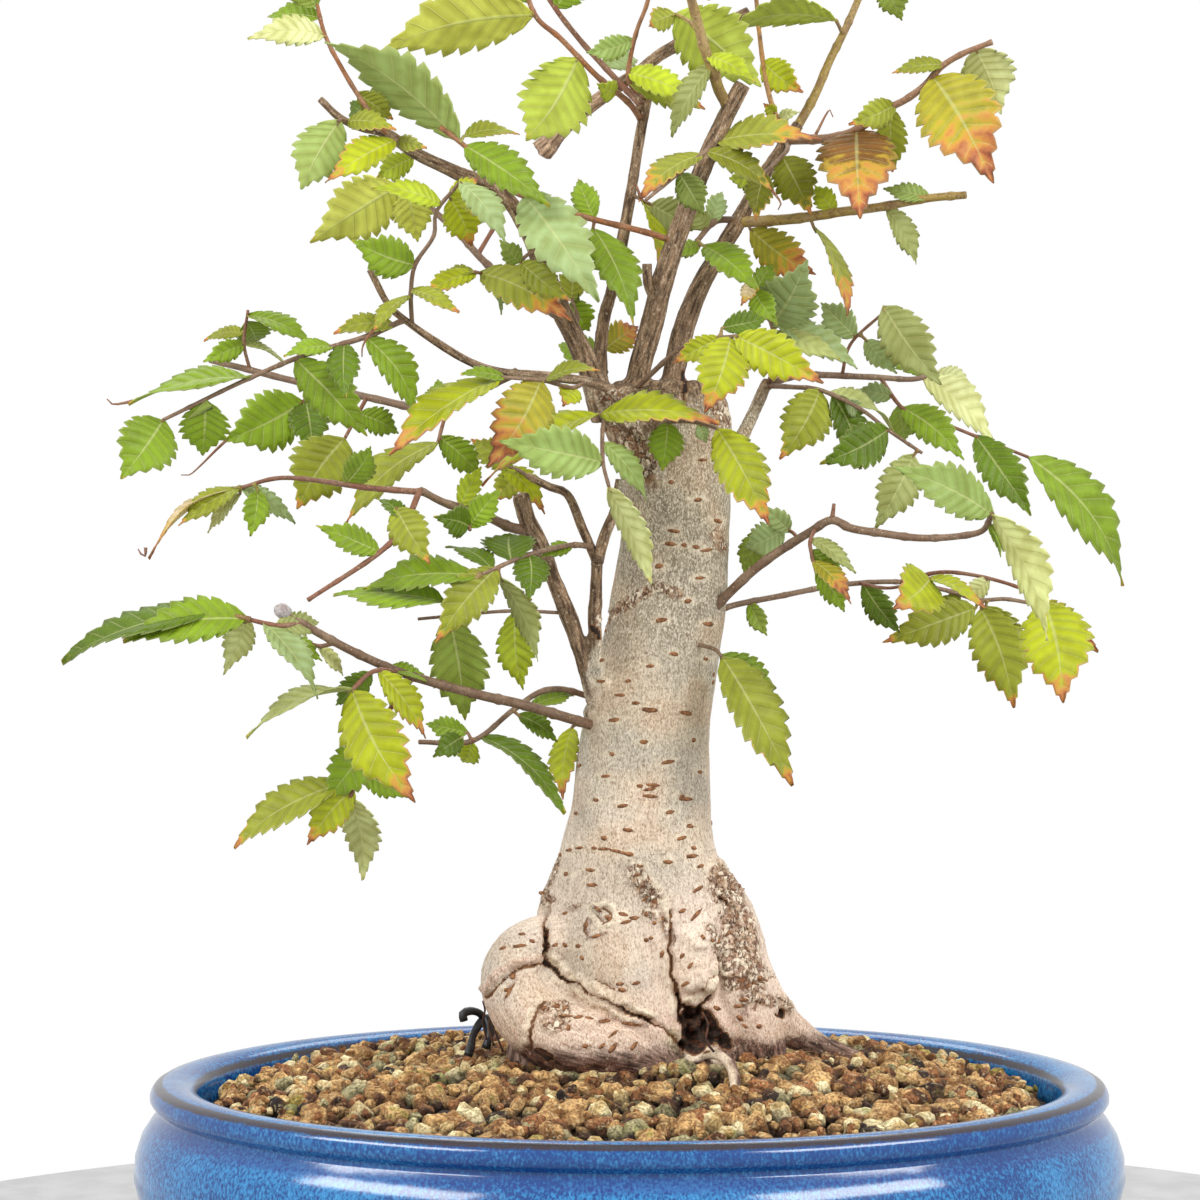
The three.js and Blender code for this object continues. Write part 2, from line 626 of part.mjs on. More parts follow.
        route: [[880, 378, 35], [905, 410, 28], [940, 422, 28], [985, 440, 31], [1028, 457, 35]],
      },
    ],
    leaves: [
      [884, 306, 941, 384, 52, -5, 1], [858, 340, 820, 302, 34, 6, 1],
      [866, 340, 896, 372, 24, -6, 1], [920, 373, 997, 446, 36, 9, 1],
      [938, 374, 979, 393, 18, 6, 1], [926, 374, 872, 352, 24, 10, 1],
      [1026, 457, 1130, 583, 52, 10, 1], [976, 438, 1032, 514, 42, -7, 1],
      [998, 444, 1012, 488, 30, 7, 1], [902, 409, 964, 459, 38, -9, 1],
      [893, 397, 858, 389, 22, 5, 1], [898, 403, 906, 442, 28, 9, 1],
    ],
  },
  right_inner: {
    widths: [1.6, 1],
    route: [
      [768, 386, 21], [792, 387, 10], [820, 390, 3], [862, 410, -4], [888, 430, -8],
      [922, 453, -12],
    ],
    sides: [],
    leaves: [
      [818, 391, 780, 459, 52, -7, 1], [830, 398, 863, 470, 36, 6, 1],
      [888, 433, 822, 463, 46, -8, 1], [914, 455, 876, 528, 44, -3, 1],
      [846, 402, 864, 414, 18, 6, 1], [830, 390, 898, 424, 13, 9, 1],
    ],
  },
  low_right: {
    widths: [3.2, 1.6],
    route: [
      [700, 624, 2], [722, 600, -2], [760, 565, -8], [810, 532, -15], [832, 520, -18],
      [850, 528, -21], [880, 533, -26], [920, 538, -32], [960, 536, -38], [982, 531, -42],
      [992, 514, -50],
    ],
    sides: [
      { widths: [1.3, 0.9], route: [[816, 528, -16], [810, 545, -24], [816, 572, -26]] },
      { widths: [1.2, 0.9], route: [[798, 540, -13], [790, 531, -7], [768, 528, 1]] },
      { widths: [1.6, 1], route: [[832, 520, -18], [834, 504, -20]] },
    ],
    leaves: [
      [991, 514, 895, 467, 50, -8, 1], [993, 515, 1054, 638, 40, -6, -1],
      [986, 524, 1003, 557, 12, 5, 1], [812, 540, 856, 573, 18, -5, 1],
      [812, 548, 846, 580, 26, 5, 1], [812, 560, 852, 602, 22, -7, 1],
      [815, 573, 845, 612, 26, 6, 1], [784, 529, 744, 548, 38, 6, 1],
      [790, 530, 762, 506, 24, -5, 1], [768, 528, 742, 574, 28, 9, 1],
    ],
  },
  low_far: {
    widths: [1.9, 1.2],
    route: [
      [700, 622, 9], [722, 609, 11], [780, 596, 18], [840, 585, 26], [900, 582, 33], [936, 588, 37],
      [956, 593, 39], [978, 600, 40], [1005, 599, 42], [1030, 603, 44],
    ],
    sides: [
      { widths: [1.2, 1], route: [[860, 583, 29], [890, 588, 20], [930, 578, 14]] },
      { widths: [1.3, 1], route: [[900, 582, 33], [945, 572, 26], [1020, 588, 14], [1045, 604, 9]] },
    ],
    leaves: [
      [862, 588, 901, 634, 30, 3, 1], [932, 577, 897, 606, 58, -14, 1],
      [932, 576, 986, 604, 14, -7, 1], [976, 608, 884, 642, 47, -6, 1],
      [981, 608, 1014, 708, 58, -8, 1], [986, 606, 1022, 662, 36, 5, 1],
      [1028, 604, 1098, 652, 38, 6, 1], [962, 594, 940, 616, 24, 7, 1],
      [1046, 606, 1063, 703, 74, -14, 1], [990, 580, 965, 598, 22, 5, 1],
      [750, 606, 767, 635, 20, 2, 1],
    ],
  },
  trunk_right: {
    widths: [1.3, 1],
    route: [[696, 644, -4], [716, 650, -12], [722, 657, -15]],
    sides: [],
    leaves: [[720, 655, 781, 713, 36, 8, 1], [722, 662, 794, 784, 56, -4, 1]],
  },
};

const POT_COLOUR = { colour: 0x1b4a96, roughness: 0.22, metalness: 0 };
const SOIL_COLOUR = { colour: 0x9a7550, roughness: 0.95, metalness: 0 };
const WOOD_COLOUR = { colour: 0x8c7d6b, roughness: 0.85, metalness: 0 };
const LEAF_COLOURS = [0x6f9a32, 0x86a63a, 0x9bb04a, 0x5f8f3c, 0xb0a044];
const LEAF_FINISH = { roughness: 0.55, metalness: 0 };

/** A repeatable draw between 0 and 1. */
function seededDraw(seed) {
  let state = seed;
  return () => {
    state = (state * 1664525 + 1013904223) % 4294967296;
    return state / 4294967296;
  };
}

/** The point seen at a place in the picture, at a depth behind the pot's centre. */
function seen(px, py, depth) {
  const scale = (depth - EYE.y) / EYE.focal;
  return new THREE.Vector3(EYE.x + (px - EYE.centre) * scale, depth, EYE.z - (py - EYE.centre) * scale);
}

/** A closed three.js geometry as a solid that can be joined and cut. */
function toSolid(geometry) {
  const bare = geometry.clone();
  bare.deleteAttribute('normal');
  bare.deleteAttribute('uv');
  const merged = mergeVertices(bare, 1e-4);
  const solid = new wasm.Manifold(new wasm.Mesh({
    numProp: 3,
    vertProperties: new Float32Array(merged.attributes.position.array),
    triVerts: new Uint32Array(merged.index.array),
  }));
  return solid;
}

/** The joined solid's largest closed body: scraps go, and sealed hollows are filled. */
function mainBody(solid) {
  const bodies = solid.decompose();
  return bodies.reduce((best, body) => (body.volume() > best.volume() ? body : best));
}

/** A solid as a three.js geometry. */
function toGeometry(solid) {
  const mesh = solid.getMesh();
  const geometry = new THREE.BufferGeometry();
  geometry.setAttribute('position', new THREE.BufferAttribute(mesh.vertProperties, 3));
  geometry.setIndex(new THREE.BufferAttribute(mesh.triVerts, 1));
  geometry.computeVertexNormals();
  return geometry;
}

/** A cylinder bent along a curve, with its radius given by its place along it. */
function bentTube(curve, radiusAt, sides, steps, from = 0, to = 1) {
  const tube = new THREE.CylinderGeometry(1, 1, 1, sides, steps);
  const frames = curve.computeFrenetFrames(steps, false);
  const place = tube.attributes.position;
  for (let i = 0; i < place.count; i += 1) {
    const part = place.getY(i) + 0.5;
    const step = Math.round(part * steps);
    const along = from + (to - from) * part;
    const side = frames.normals[step];
    const up = new THREE.Vector3().crossVectors(side, frames.tangents[step]);
    const radius = radiusAt(along);
    const point = curve.getPointAt(along)
      .addScaledVector(side, place.getX(i) * radius)
      .addScaledVector(up, place.getZ(i) * radius);
    place.setXYZ(i, point.x, point.y, point.z);
  }
  return tube;
}

/** A smooth curve through picture points. */
function routeCurve(route) {
  const points = route.map(([px, py, depth]) => seen(px, py, depth));
  return new THREE.CatmullRomCurve3(points, false, 'centripetal');
}

/** A radius that runs evenly from half of one width to half of another. */
function taper([start, end]) {
  return (along) => (start + (end - start) * along) / 2;
}

/** A profile turned about the upright axis, then pressed to the pot's oval. */
function ovalTurn(profile) {
  const turned = new THREE.LatheGeometry(profile.map(([r, z]) => new THREE.Vector2(r, z)), POT_SEGMENTS);
  turned.rotateX(Math.PI / 2);
  turned.scale(1, OVAL, 1);
  return turned;
}

/** An upright oval disc. */
function ovalDisc(x, y, bottom, top, halfLong, halfWide, turn, sides) {
  const disc = new THREE.CylinderGeometry(1, 1, top - bottom, sides);
  disc.rotateX(Math.PI / 2);
  disc.scale(halfLong, halfWide, 1);
  disc.rotateZ(turn);
  disc.translate(x, y, (top + bottom) / 2);
  return disc;
}

/** The pot: a bellied bowl with a rolled rim, four low feet and two drain holes. */
function makePot() {
  let pot = toSolid(ovalTurn([...POT_OUTSIDE, ...POT_RIM, ...POT_INSIDE]));
  const bearing = THREE.MathUtils.degToRad(FOOT.bearing);
  for (const [signX, signY] of [[1, 1], [-1, 1], [-1, -1], [1, -1]]) {
    const x = signX * FOOT.reach * Math.cos(bearing);
    const y = signY * FOOT.reach * Math.sin(bearing);
    const turn = -signX * signY * bearing;
    const foot = ovalDisc(x, y, 0, FOOT_HEIGHT + FOOT.sunk, FOOT.long, FOOT.wide, turn, FOOT.sides);
    pot = pot.add(toSolid(foot));
  }
  for (const side of [-1, 1]) {
    const x = side * DRAIN.offset;
    const hole = ovalDisc(x, 0, 0, RIM_TOP / 2, DRAIN.radius, DRAIN.radius, 0, DRAIN.sides);
    pot = pot.subtract(toSolid(hole));
  }
  return mainBody(pot);
}

/** The soil's height at a share of the way from the middle to the wall. */
function soilHeight(share) {
  return SOIL_AT_WALL + (SOIL_AT_TRUNK - SOIL_AT_WALL) * (1 - share * share);
}

/** The soil: it fills the pot, its top is rough with grains, and the trunk stands in a hole in it. */
function makeSoil(rootHole) {
  const top = SOIL_RINGS.map((share) => [SOIL_HALF_WIDTH * share, soilHeight(share)]);
  const soil = ovalTurn([...SOIL_WALL, ...top, [0, SOIL_AT_TRUNK]]);
  const draw = seededDraw(SOIL_SEED);
  const place = soil.attributes.position;
  const rows = SOIL_WALL.length + top.length + 1;
  for (let i = 0; i < place.count; i += 1) {
    const row = i % rows;
    const column = Math.floor(i / rows);
    const lift = (draw() - 0.5) * 2 * SOIL_GRAIN;
    if (row >= SOIL_WALL.length && row < rows - 1 && column < POT_SEGMENTS) {
      place.setZ(i, place.getZ(i) + lift);
    }
    if (column === POT_SEGMENTS) {
      place.setXYZ(i, place.getX(row), place.getY(row), place.getZ(row));
    }
  }
  return mainBody(toSolid(soil).subtract(rootHole));
}

/** The trunk below the limbs, grown outward by a margin. */
function trunkSolid(margin) {
  const rows = TRUNK.length - 1;
  const column = new THREE.CylinderGeometry(1, 1, 1, TRUNK_SIDES, rows);
  const place = column.attributes.position;
  for (let i = 0; i < place.count; i += 1) {
    const [z, x, y, halfWidth, halfDepth] = TRUNK[Math.round((place.getY(i) + 0.5) * rows)];
    const bottomDrop = z === TRUNK[0][0] ? margin : 0;
    place.setXYZ(i,
      x + place.getX(i) * (halfWidth + margin),
      y - place.getZ(i) * (halfDepth + margin),
      z - bottomDrop);
  }
  return toSolid(column);
}

/** One surface root, grown outward by a margin. */
function rootSolid(points, margin) {
  const curve = routeCurve(points);
  const steps = points.length - 1;
  const radiusAt = (along) => {
    const place = Math.min(along * steps, steps - 1e-6);
    const before = Math.floor(place);
    const mix = place - before;
    return points[before][3] * (1 - mix) + points[before + 1][3] * mix + margin;
  };
  const sides = points[0][3] < THIN_ROOT.radius ? THIN_ROOT.sides : ROOT_SIDES;
  return toSolid(bentTube(curve, radiusAt, sides, steps));
}

/** The trunk's foot and its roots as one solid. */
function rootBase(margin) {
  const roots = Object.values(ROOTS).map((points) => rootSolid(points, margin));
  return roots.reduce((base, root) => base.add(root), trunkSolid(margin));
}

/** The dark hollow between two roots. */
function hollowSolid() {
  const hollow = new THREE.SphereGeometry(1, HOLLOW.turns, HOLLOW.rows);
  hollow.scale(HOLLOW.halfWidth, HOLLOW.halfDepth, HOLLOW.halfHeight);
  const centre = seen(...HOLLOW.at);
  hollow.translate(centre.x, centre.y, centre.z);
  return toSolid(hollow);
}

/** The grown wood: trunk, roots and limbs in one piece. */
function makeWood() {
  let wood = rootBase(0).subtract(hollowSolid());
  for (const { widths, route } of Object.values(LIMBS)) {
    const sides = widths[0] > LIMB_SIDES.limit ? LIMB_SIDES.thick : LIMB_SIDES.thin;
    const limb = bentTube(routeCurve(route), taper(widths), sides, route.length - 1);
    wood = wood.add(toSolid(limb));
  }
  return mainBody(wood).asOriginal().simplify(TIDY);
}

/** The share of a branch's route that lies in the wood, with the seat's gap added. */
function seatShare(curve, radiusAt, wood) {
  const length = curve.getLength();
  const far = SEAT_STEP * SEAT_STEPS;
  for (let reached = 0; reached < length - far; reached += SEAT_STEP) {
    const from = reached / length;
    const end = bentTube(curve, radiusAt, BRANCH_SIDES.thin, 1, from, from + far / length);
    if (wood.minGap(toSolid(end), 1) >= BRANCH_SEAT) {
      return from;
    }
  }
  return SEAT_AT_MOST;
}

/** One leaf: a toothed blade folded up from its midrib and arched, on a stalk from its root. */
function leafSolid(stalkRoot, base, tip, widthSeen, face) {
  const axis = tip.clone().sub(base);
  const length = axis.length();
  axis.normalize();
  const toEye = new THREE.Vector3(EYE.x, EYE.y, EYE.z).sub(base).normalize();
  const facing = toEye.addScaledVector(axis, -toEye.dot(axis)).normalize().multiplyScalar(face);
  const width = Math.max(widthSeen, BLADE_RATIO * length);
  const turn = Math.acos(Math.min(1, widthSeen / width));
  const turned = [turn, -turn].map((angle) => facing.clone().applyAxisAngle(axis, angle));
  const normal = turned[0].z >= turned[1].z ? turned[0] : turned[1];
  const across = new THREE.Vector3().crossVectors(normal, axis);
  const onBlade = (u, v, lift) => base.clone()
    .addScaledVector(axis, u * length)
    .addScaledVector(across, v)
    .addScaledVector(normal, Math.abs(v) * BLADE_FOLD + BLADE_ARCH * length * 4 * u * (1 - u) + lift);
  const halfWidth = (u) => (width / 2) * Math.sin(Math.PI * u ** WIDEST_SHIFT) ** EDGE_ROUNDING;
  const teeth = TEETH.find((size) => length > size.from).count;

  const vertices = [];
  const addPair = (upper, lower) => {
    vertices.push(upper, lower);
    return { upper: vertices.length - 2, lower: vertices.length - 1 };
  };
  const half = BLADE_THICKNESS / 2;
  const thick = (u, v) => ({ u, ...addPair(onBlade(u, v, half), onBlade(u, v, -half)) });
  const sharp = (u, v) => {
    vertices.push(onBlade(u, v, 0));
    return { u, upper: vertices.length - 1, lower: vertices.length - 1 };
  };
  const leafTip = sharp(1, 0);
  const rise = normal.clone().multiplyScalar(STALK_HALF_WIDTH);
  const root = { u: -1, ...addPair(stalkRoot.clone().add(rise), stalkRoot.clone().sub(rise)) };
  const edge = (side) => {
    const points = [root];
    if (stalkRoot.distanceTo(base) > LONG_STALK) {
      points.push(thick(STALK_END, side * STALK_HALF_WIDTH));
    }
    for (let tooth = 1; tooth <= teeth; tooth += 1) {
      const u = tooth / (teeth + 1);
      const notch = u + NOTCH.step / (teeth + 1);
      points.push(sharp(u, side * halfWidth(u)));
      points.push(thick(notch, side * halfWidth(notch) * NOTCH.reach));
    }
    return [...points, leafTip];
  };
  const right = edge(-1);
  const left = edge(1);
  const middle = [thick(MIDRIB_JOINT, 0), leafTip];

  const triangles = [];
  const faceBoth = (a, b, c) => {
    triangles.push(a.upper, b.upper, c.upper, c.lower, b.lower, a.lower);
  };
  const fill = (chain, flip) => {
    let i = 0;
    let j = 0;
    while (i < chain.length - 2 || j < middle.length - 2) {
      const sideNext = i < chain.length - 2 && (j >= middle.length - 2 || chain[i + 1].u <= middle[j + 1].u);
      const corner = sideNext ? chain[i + 1] : middle[j + 1];
      faceBoth(flip ? corner : chain[i], flip ? chain[i] : corner, middle[j]);
      i += sideNext ? 1 : 0;
      j += sideNext ? 0 : 1;
    }
    faceBoth(flip ? leafTip : chain[i], flip ? chain[i] : leafTip, middle[j]);
  };
  fill(right, false);
  fill(left, true);
  const outline = [...right, ...left.slice(1, -1).reverse()];
  outline.forEach((a, i) => {
    const b = outline[(i + 1) % outline.length];
    if (b.upper !== b.lower) {
      triangles.push(a.lower, b.lower, b.upper);
    }
    if (a.upper !== a.lower) {
      triangles.push(a.lower, b.upper, a.upper);
    }
  });
  const blade = new THREE.BufferGeometry().setFromPoints(vertices);
  blade.setIndex(triangles);
  return toSolid(blade);
}

/** The nearest of some points to a point. */
function nearest(points, point) {
  return points.reduce((best, other) => (other.distanceTo(point) < best.distanceTo(point) ? other : best));
}

/** A stem's solid from a share of its curve to its end, with points along its middle. */
function stemOf(curve, widths, start) {
  const sides = widths[0] > BRANCH_SIDES.limit ? BRANCH_SIDES.thick : BRANCH_SIDES.thin;
  const steps = Math.max(1, Math.round((curve.points.length - 1) * (1 - start / 2)));
  const solid = toSolid(bentTube(curve, taper(widths), sides, steps, start, 1));
  const shareOf = (ring) => start + (1 - start) * (ring / steps);
  const rings = Array.from({ length: steps + 1 }, (_, ring) => curve.getPointAt(shareOf(ring)));
  const points = [];
  for (let i = 0; i < steps; i += 1) {
    const count = Math.ceil(rings[i].distanceTo(rings[i + 1]));
    for (let j = 0; j < count; j += 1) {
      points.push(rings[i].clone().lerp(rings[i + 1], (j + 0.5) / count));
    }
  }
  return { solid, points };
}

/** A leafy branch: its stems and its leaves in one piece, seated against the wood. */
function makeBranch({ widths, route, sides, leaves }, wood) {
  const mainCurve = routeCurve(route);
  const main = stemOf(mainCurve, widths, seatShare(mainCurve, taper(widths), wood));
  const stems = [main];
  for (const side of sides) {
    const curve = routeCurve(side.route);
    curve.points[0] = nearest(main.points, curve.points[0]);
    stems.push(stemOf(curve, side.widths, 0));
  }
  const points = stems.flatMap((stem) => stem.points);
  let branch = stems.map((stem) => stem.solid).reduce((joined, solid) => joined.add(solid));
  for (const [baseX, baseY, tipX, tipY, widthSeen, reach, face] of leaves) {
    const away = (point) => seen(baseX, baseY, point.y).distanceTo(point);
    const root = points.reduce((best, point) => (away(point) < away(best) ? point : best));
    const base = away(root) < SHORT_STALK ? root : seen(baseX, baseY, root.y);
    const scale = (root.y - EYE.y) / EYE.focal;
    branch = branch.add(leafSolid(root, base, seen(tipX, tipY, root.y + reach), widthSeen * scale, face));
  }
  return mainBody(branch).asOriginal().simplify(TIDY);
}

/** A named mesh with its own material. */
function namedMesh(name, solid, { colour, roughness, metalness }) {
  const material = new THREE.MeshStandardMaterial({ color: colour, roughness, metalness });
  const mesh = new THREE.Mesh(toGeometry(solid), material);
  mesh.name = name;
  return mesh;
}

const bonsai = new THREE.Group();
const wood = makeWood();
bonsai.add(namedMesh('pot', makePot(), POT_COLOUR));
bonsai.add(namedMesh('soil', makeSoil(rootBase(FIT_GAP)), SOIL_COLOUR));
bonsai.add(namedMesh('tree_wood', wood, WOOD_COLOUR));
Object.entries(BRANCHES).forEach(([name, branch], i) => {
  const finish = { colour: LEAF_COLOURS[i % LEAF_COLOURS.length], ...LEAF_FINISH };
  bonsai.add(namedMesh(`branch_${name}`, makeBranch(branch, wood), finish));
});

export default bonsai;
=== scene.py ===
"""The looks of a japanese zelkova bonsai in a cobalt glazed oval pot.

Everything is in metres, +Z up, with the front of the tree towards -Y. The places of
stems and leaves are given in the view that they were read from, a level eye in front
of the tree: a place in a 1200 by 1200 picture, and a depth in millimetres.
"""

import logging
import math
import random
from collections.abc import Sequence
from dataclasses import dataclass, field
from enum import Enum

import bmesh
import bpy
import numpy as np
from mathutils import Matrix, Vector, noise
from mathutils.bvhtree import BVHTree
from mathutils.kdtree import KDTree


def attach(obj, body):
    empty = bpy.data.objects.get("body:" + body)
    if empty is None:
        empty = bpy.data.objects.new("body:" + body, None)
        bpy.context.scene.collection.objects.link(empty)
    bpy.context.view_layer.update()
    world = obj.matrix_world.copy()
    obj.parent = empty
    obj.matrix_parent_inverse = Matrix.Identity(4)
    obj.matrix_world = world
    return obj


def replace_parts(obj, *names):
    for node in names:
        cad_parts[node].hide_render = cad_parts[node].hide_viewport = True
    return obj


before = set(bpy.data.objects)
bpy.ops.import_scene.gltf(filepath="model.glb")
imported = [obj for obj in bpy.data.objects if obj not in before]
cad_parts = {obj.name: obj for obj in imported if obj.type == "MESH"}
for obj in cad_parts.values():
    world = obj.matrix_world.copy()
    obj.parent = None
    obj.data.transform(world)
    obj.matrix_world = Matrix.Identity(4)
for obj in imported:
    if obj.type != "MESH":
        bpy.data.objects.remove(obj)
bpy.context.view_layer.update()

LOG = logging.getLogger("bonsai")
MM = 0.001
OVAL = 0.79
NOISE_SEED = 11
WELD = 1e-6
TWIG_STEP = 1.5 * MM


@dataclass(frozen=True)
class Eye:
    """The view that routes and leaves were read from."""

    place: Vector = field(default_factory=lambda: Vector((-0.008, -0.798, 0.2026)))
    focal: float = 2900.0
    centre: float = 600.0

    def seen(self, px: float, py: float, depth: float) -> Vector:
        """Gives the point at a picture place and a depth.

        Args:
            px: Picture column.
            py: Picture row, downwards.
            depth: Place along Y in millimetres.

        Returns:
            The point in metres.
        """
        scale = (depth * MM - self.place.y) / self.focal
        return Vector((
            self.place.x + (px - self.centre) * scale,
            depth * MM,
            self.place.z - (py - self.centre) * scale,
        ))

    def pictured(self, points: np.ndarray) -> np.ndarray:
        """Gives the picture places of points.

        Args:
            points: One row of X, Y, Z for each point.

        Returns:
            One row of column and row for each point.
        """
        scale = (points[:, 1] - self.place.y) / self.focal
        return np.stack((
            self.centre + (points[:, 0] - self.place.x) / scale,
            self.centre - (points[:, 2] - self.place.z) / scale,
        ), axis=1)


EYE = Eye()


@dataclass(frozen=True)
class Stem:
    """A stem's widths at its start and end, and the picture route of its middle."""

    widths: tuple[float, float]
    route: tuple[tuple[float, float, float], ...]


@dataclass(frozen=True)
class Branch:
    """A leafy branch: its main stem, its side stems and its leaves.

    A leaf is its base and tip in the picture, its width as seen, how far its tip lies
    behind its base, and 1 where its upper face shows or -1 its underside. There is one
    letter of tints for each leaf.
    """

    main: Stem
    leaves: tuple[tuple[float, ...], ...]
    tints: str
    sides: tuple[Stem, ...] = ()


TRUNK: tuple[tuple[float, ...], ...] = (
    (58, 12, 11, 33, 22), (76, 12, 10, 33, 21), (88, 12, 9, 31, 20), (97, 10, 9, 29, 19), (106, 7, 8, 29, 19),
    (113, 4.5, 8, 30, 19.5), (119.5, 4.3, 7.5, 28.5, 19), (128, 2.8, 7, 23.8, 18.5), (136, 2.5, 6.5, 21.1, 18),
    (144.5, 3.1, 6, 19.4, 17), (164, 4.5, 6, 18, 16), (180.5, 7.1, 6, 16.8, 15), (202.5, 11.1, 5.5, 16.1, 14),
    (214, 12.4, 5, 15.4, 13.5), (230.5, 13.5, 5, 14.8, 13), (241.5, 12.1, 5, 16.2, 13.5),
    (252.5, 10.3, 4.5, 18, 13.5), (258, 9.5, 4.5, 17.5, 12.5), (263, 9.5, 4.5, 13, 9),
)
ROOTS: dict[str, tuple[tuple[float, ...], ...]] = {
    "knee": ((588, 942, 2, 7), (534, 948, -2, 8.4), (513, 974, -4, 8.8), (524, 1006, -6, 10), (562, 1036, -8, 11.5),
        (612, 1052, -9, 10.5), (655, 1066, -8, 7.5), (690, 1094, -8, 5)),
    "front": ((614, 880, 4, 10), (612, 945, -1, 14), (624, 990, -3, 13), (646, 1030, -5, 9.5), (664, 1090, -5, 7)),
    "middle": ((690, 880, 2, 8), (697, 945, -4, 8), (695, 988, -6, 6.5)),
    "right": ((698, 872, 3, 8), (727, 922, 2, 8.4), (741, 975, 3, 8.8), (772, 1020, 7, 7.4), (818, 1046, 15, 4),
        (860, 1062, 23, 2.4), (884, 1092, 26, 1.6)),
    "frontRight": ((728, 945, 0, 8), (744, 1000, -2, 8.6), (760, 1046, -1, 7.4), (768, 1095, 1, 5.5)),
    "footLeft": ((585, 950, 3, 9), (556, 985, 1, 10), (538, 1055, 2, 9), (530, 1100, 2, 8)),
    "backLeft": ((600, 930, 24, 9), (570, 985, 34, 8), (545, 1030, 40, 5.5), (520, 1075, 46, 3)),
    "backRight": ((690, 930, 24, 10), (712, 990, 34, 7.5), (738, 1035, 42, 4.5), (760, 1075, 48, 2.5)),
    "stray": ((698, 1058, -6, 1.2), (715, 1054, -15, 1.4), (729, 1063, -23, 1.5), (735, 1080, -33, 1.5),
        (734, 1098, -42, 1.3)),
}
LIMBS: dict[str, Stem] = {
    "left": Stem((7.4, 2), ((607, 418, 2), (590, 370, -2), (562, 312, -7), (545, 275, -11), (530, 235, -14),
        (505, 197, -17), (455, 172, -22), (415, 153, -26), (385, 133, -29), (360, 127, -32), (340, 118, -34),
        (320, 99, -37))),
    "middle": Stem((4.2, 2.7), ((604, 412, 6), (600, 365, 8), (604, 318, 10), (612, 290, 11), (628, 210, 13),
        (641, 130, 15), (651, 82, 17))),
    "behind": Stem((4.4, 3.2), ((541, 152, 26), (575, 118, 25), (605, 95, 25), (638, 72, 22), (665, 52, 24),
        (748, 12, 30))),
    "behindFork": Stem((2.6, 2.4), ((641, 112, 15), (639, 90, 19), (640, 72, 23))),
    "centre": Stem((7, 4.6), ((640, 422, 3), (637, 385, 1), (652, 325, -3), (663, 280, -6), (683, 220, -10),
        (706, 160, -12), (728, 112, -14), (743, 84, -15))),
    "centreStub": Stem((3, 2.6), ((655, 300, -4), (648, 282, -7), (647, 264, -8))),
    "right": Stem((7.4, 3.4), ((668, 425, 3), (674, 375, 3), (682, 335, 4), (701, 285, 7), (736, 225, 12),
        (770, 165, 17), (798, 125, 20))),
    "lowLeft": Stem((3, 1.7), ((622, 400, -4), (600, 385, -12), (545, 376, -22), (500, 372, -28), (470, 362, -32),
        (430, 338, -37), (405, 320, -40), (390, 307, -42), (370, 270, -46))),
    "stemBack": Stem((4.9, 4.5), ((610, 725, 6), (592, 690, -3), (583, 660, -7), (570, 620, -11), (550, 570, -16),
        (540, 545, -19), (527, 520, -22), (520, 495, -24))),
    "stemFront": Stem((4.8, 3.6), ((610, 700, 0), (598, 668, -6), (595, 630, -10), (596, 595, -13), (597, 560, -16))),
    "stemFrontLeft": Stem((2.8, 1.9), ((597, 562, -16), (583, 530, -15), (567, 494, -12), (550, 487, -8),
        (528, 476, -3))),
    "stemFrontRight": Stem((3.4, 2.6), ((597, 562, -16), (605, 535, -17), (615, 510, -19), (620, 480, -21))),
    "rightBack": Stem((4.4, 3.6), ((716, 486, 12), (738, 445, 15), (755, 410, 19), (768, 380, 22))),
}
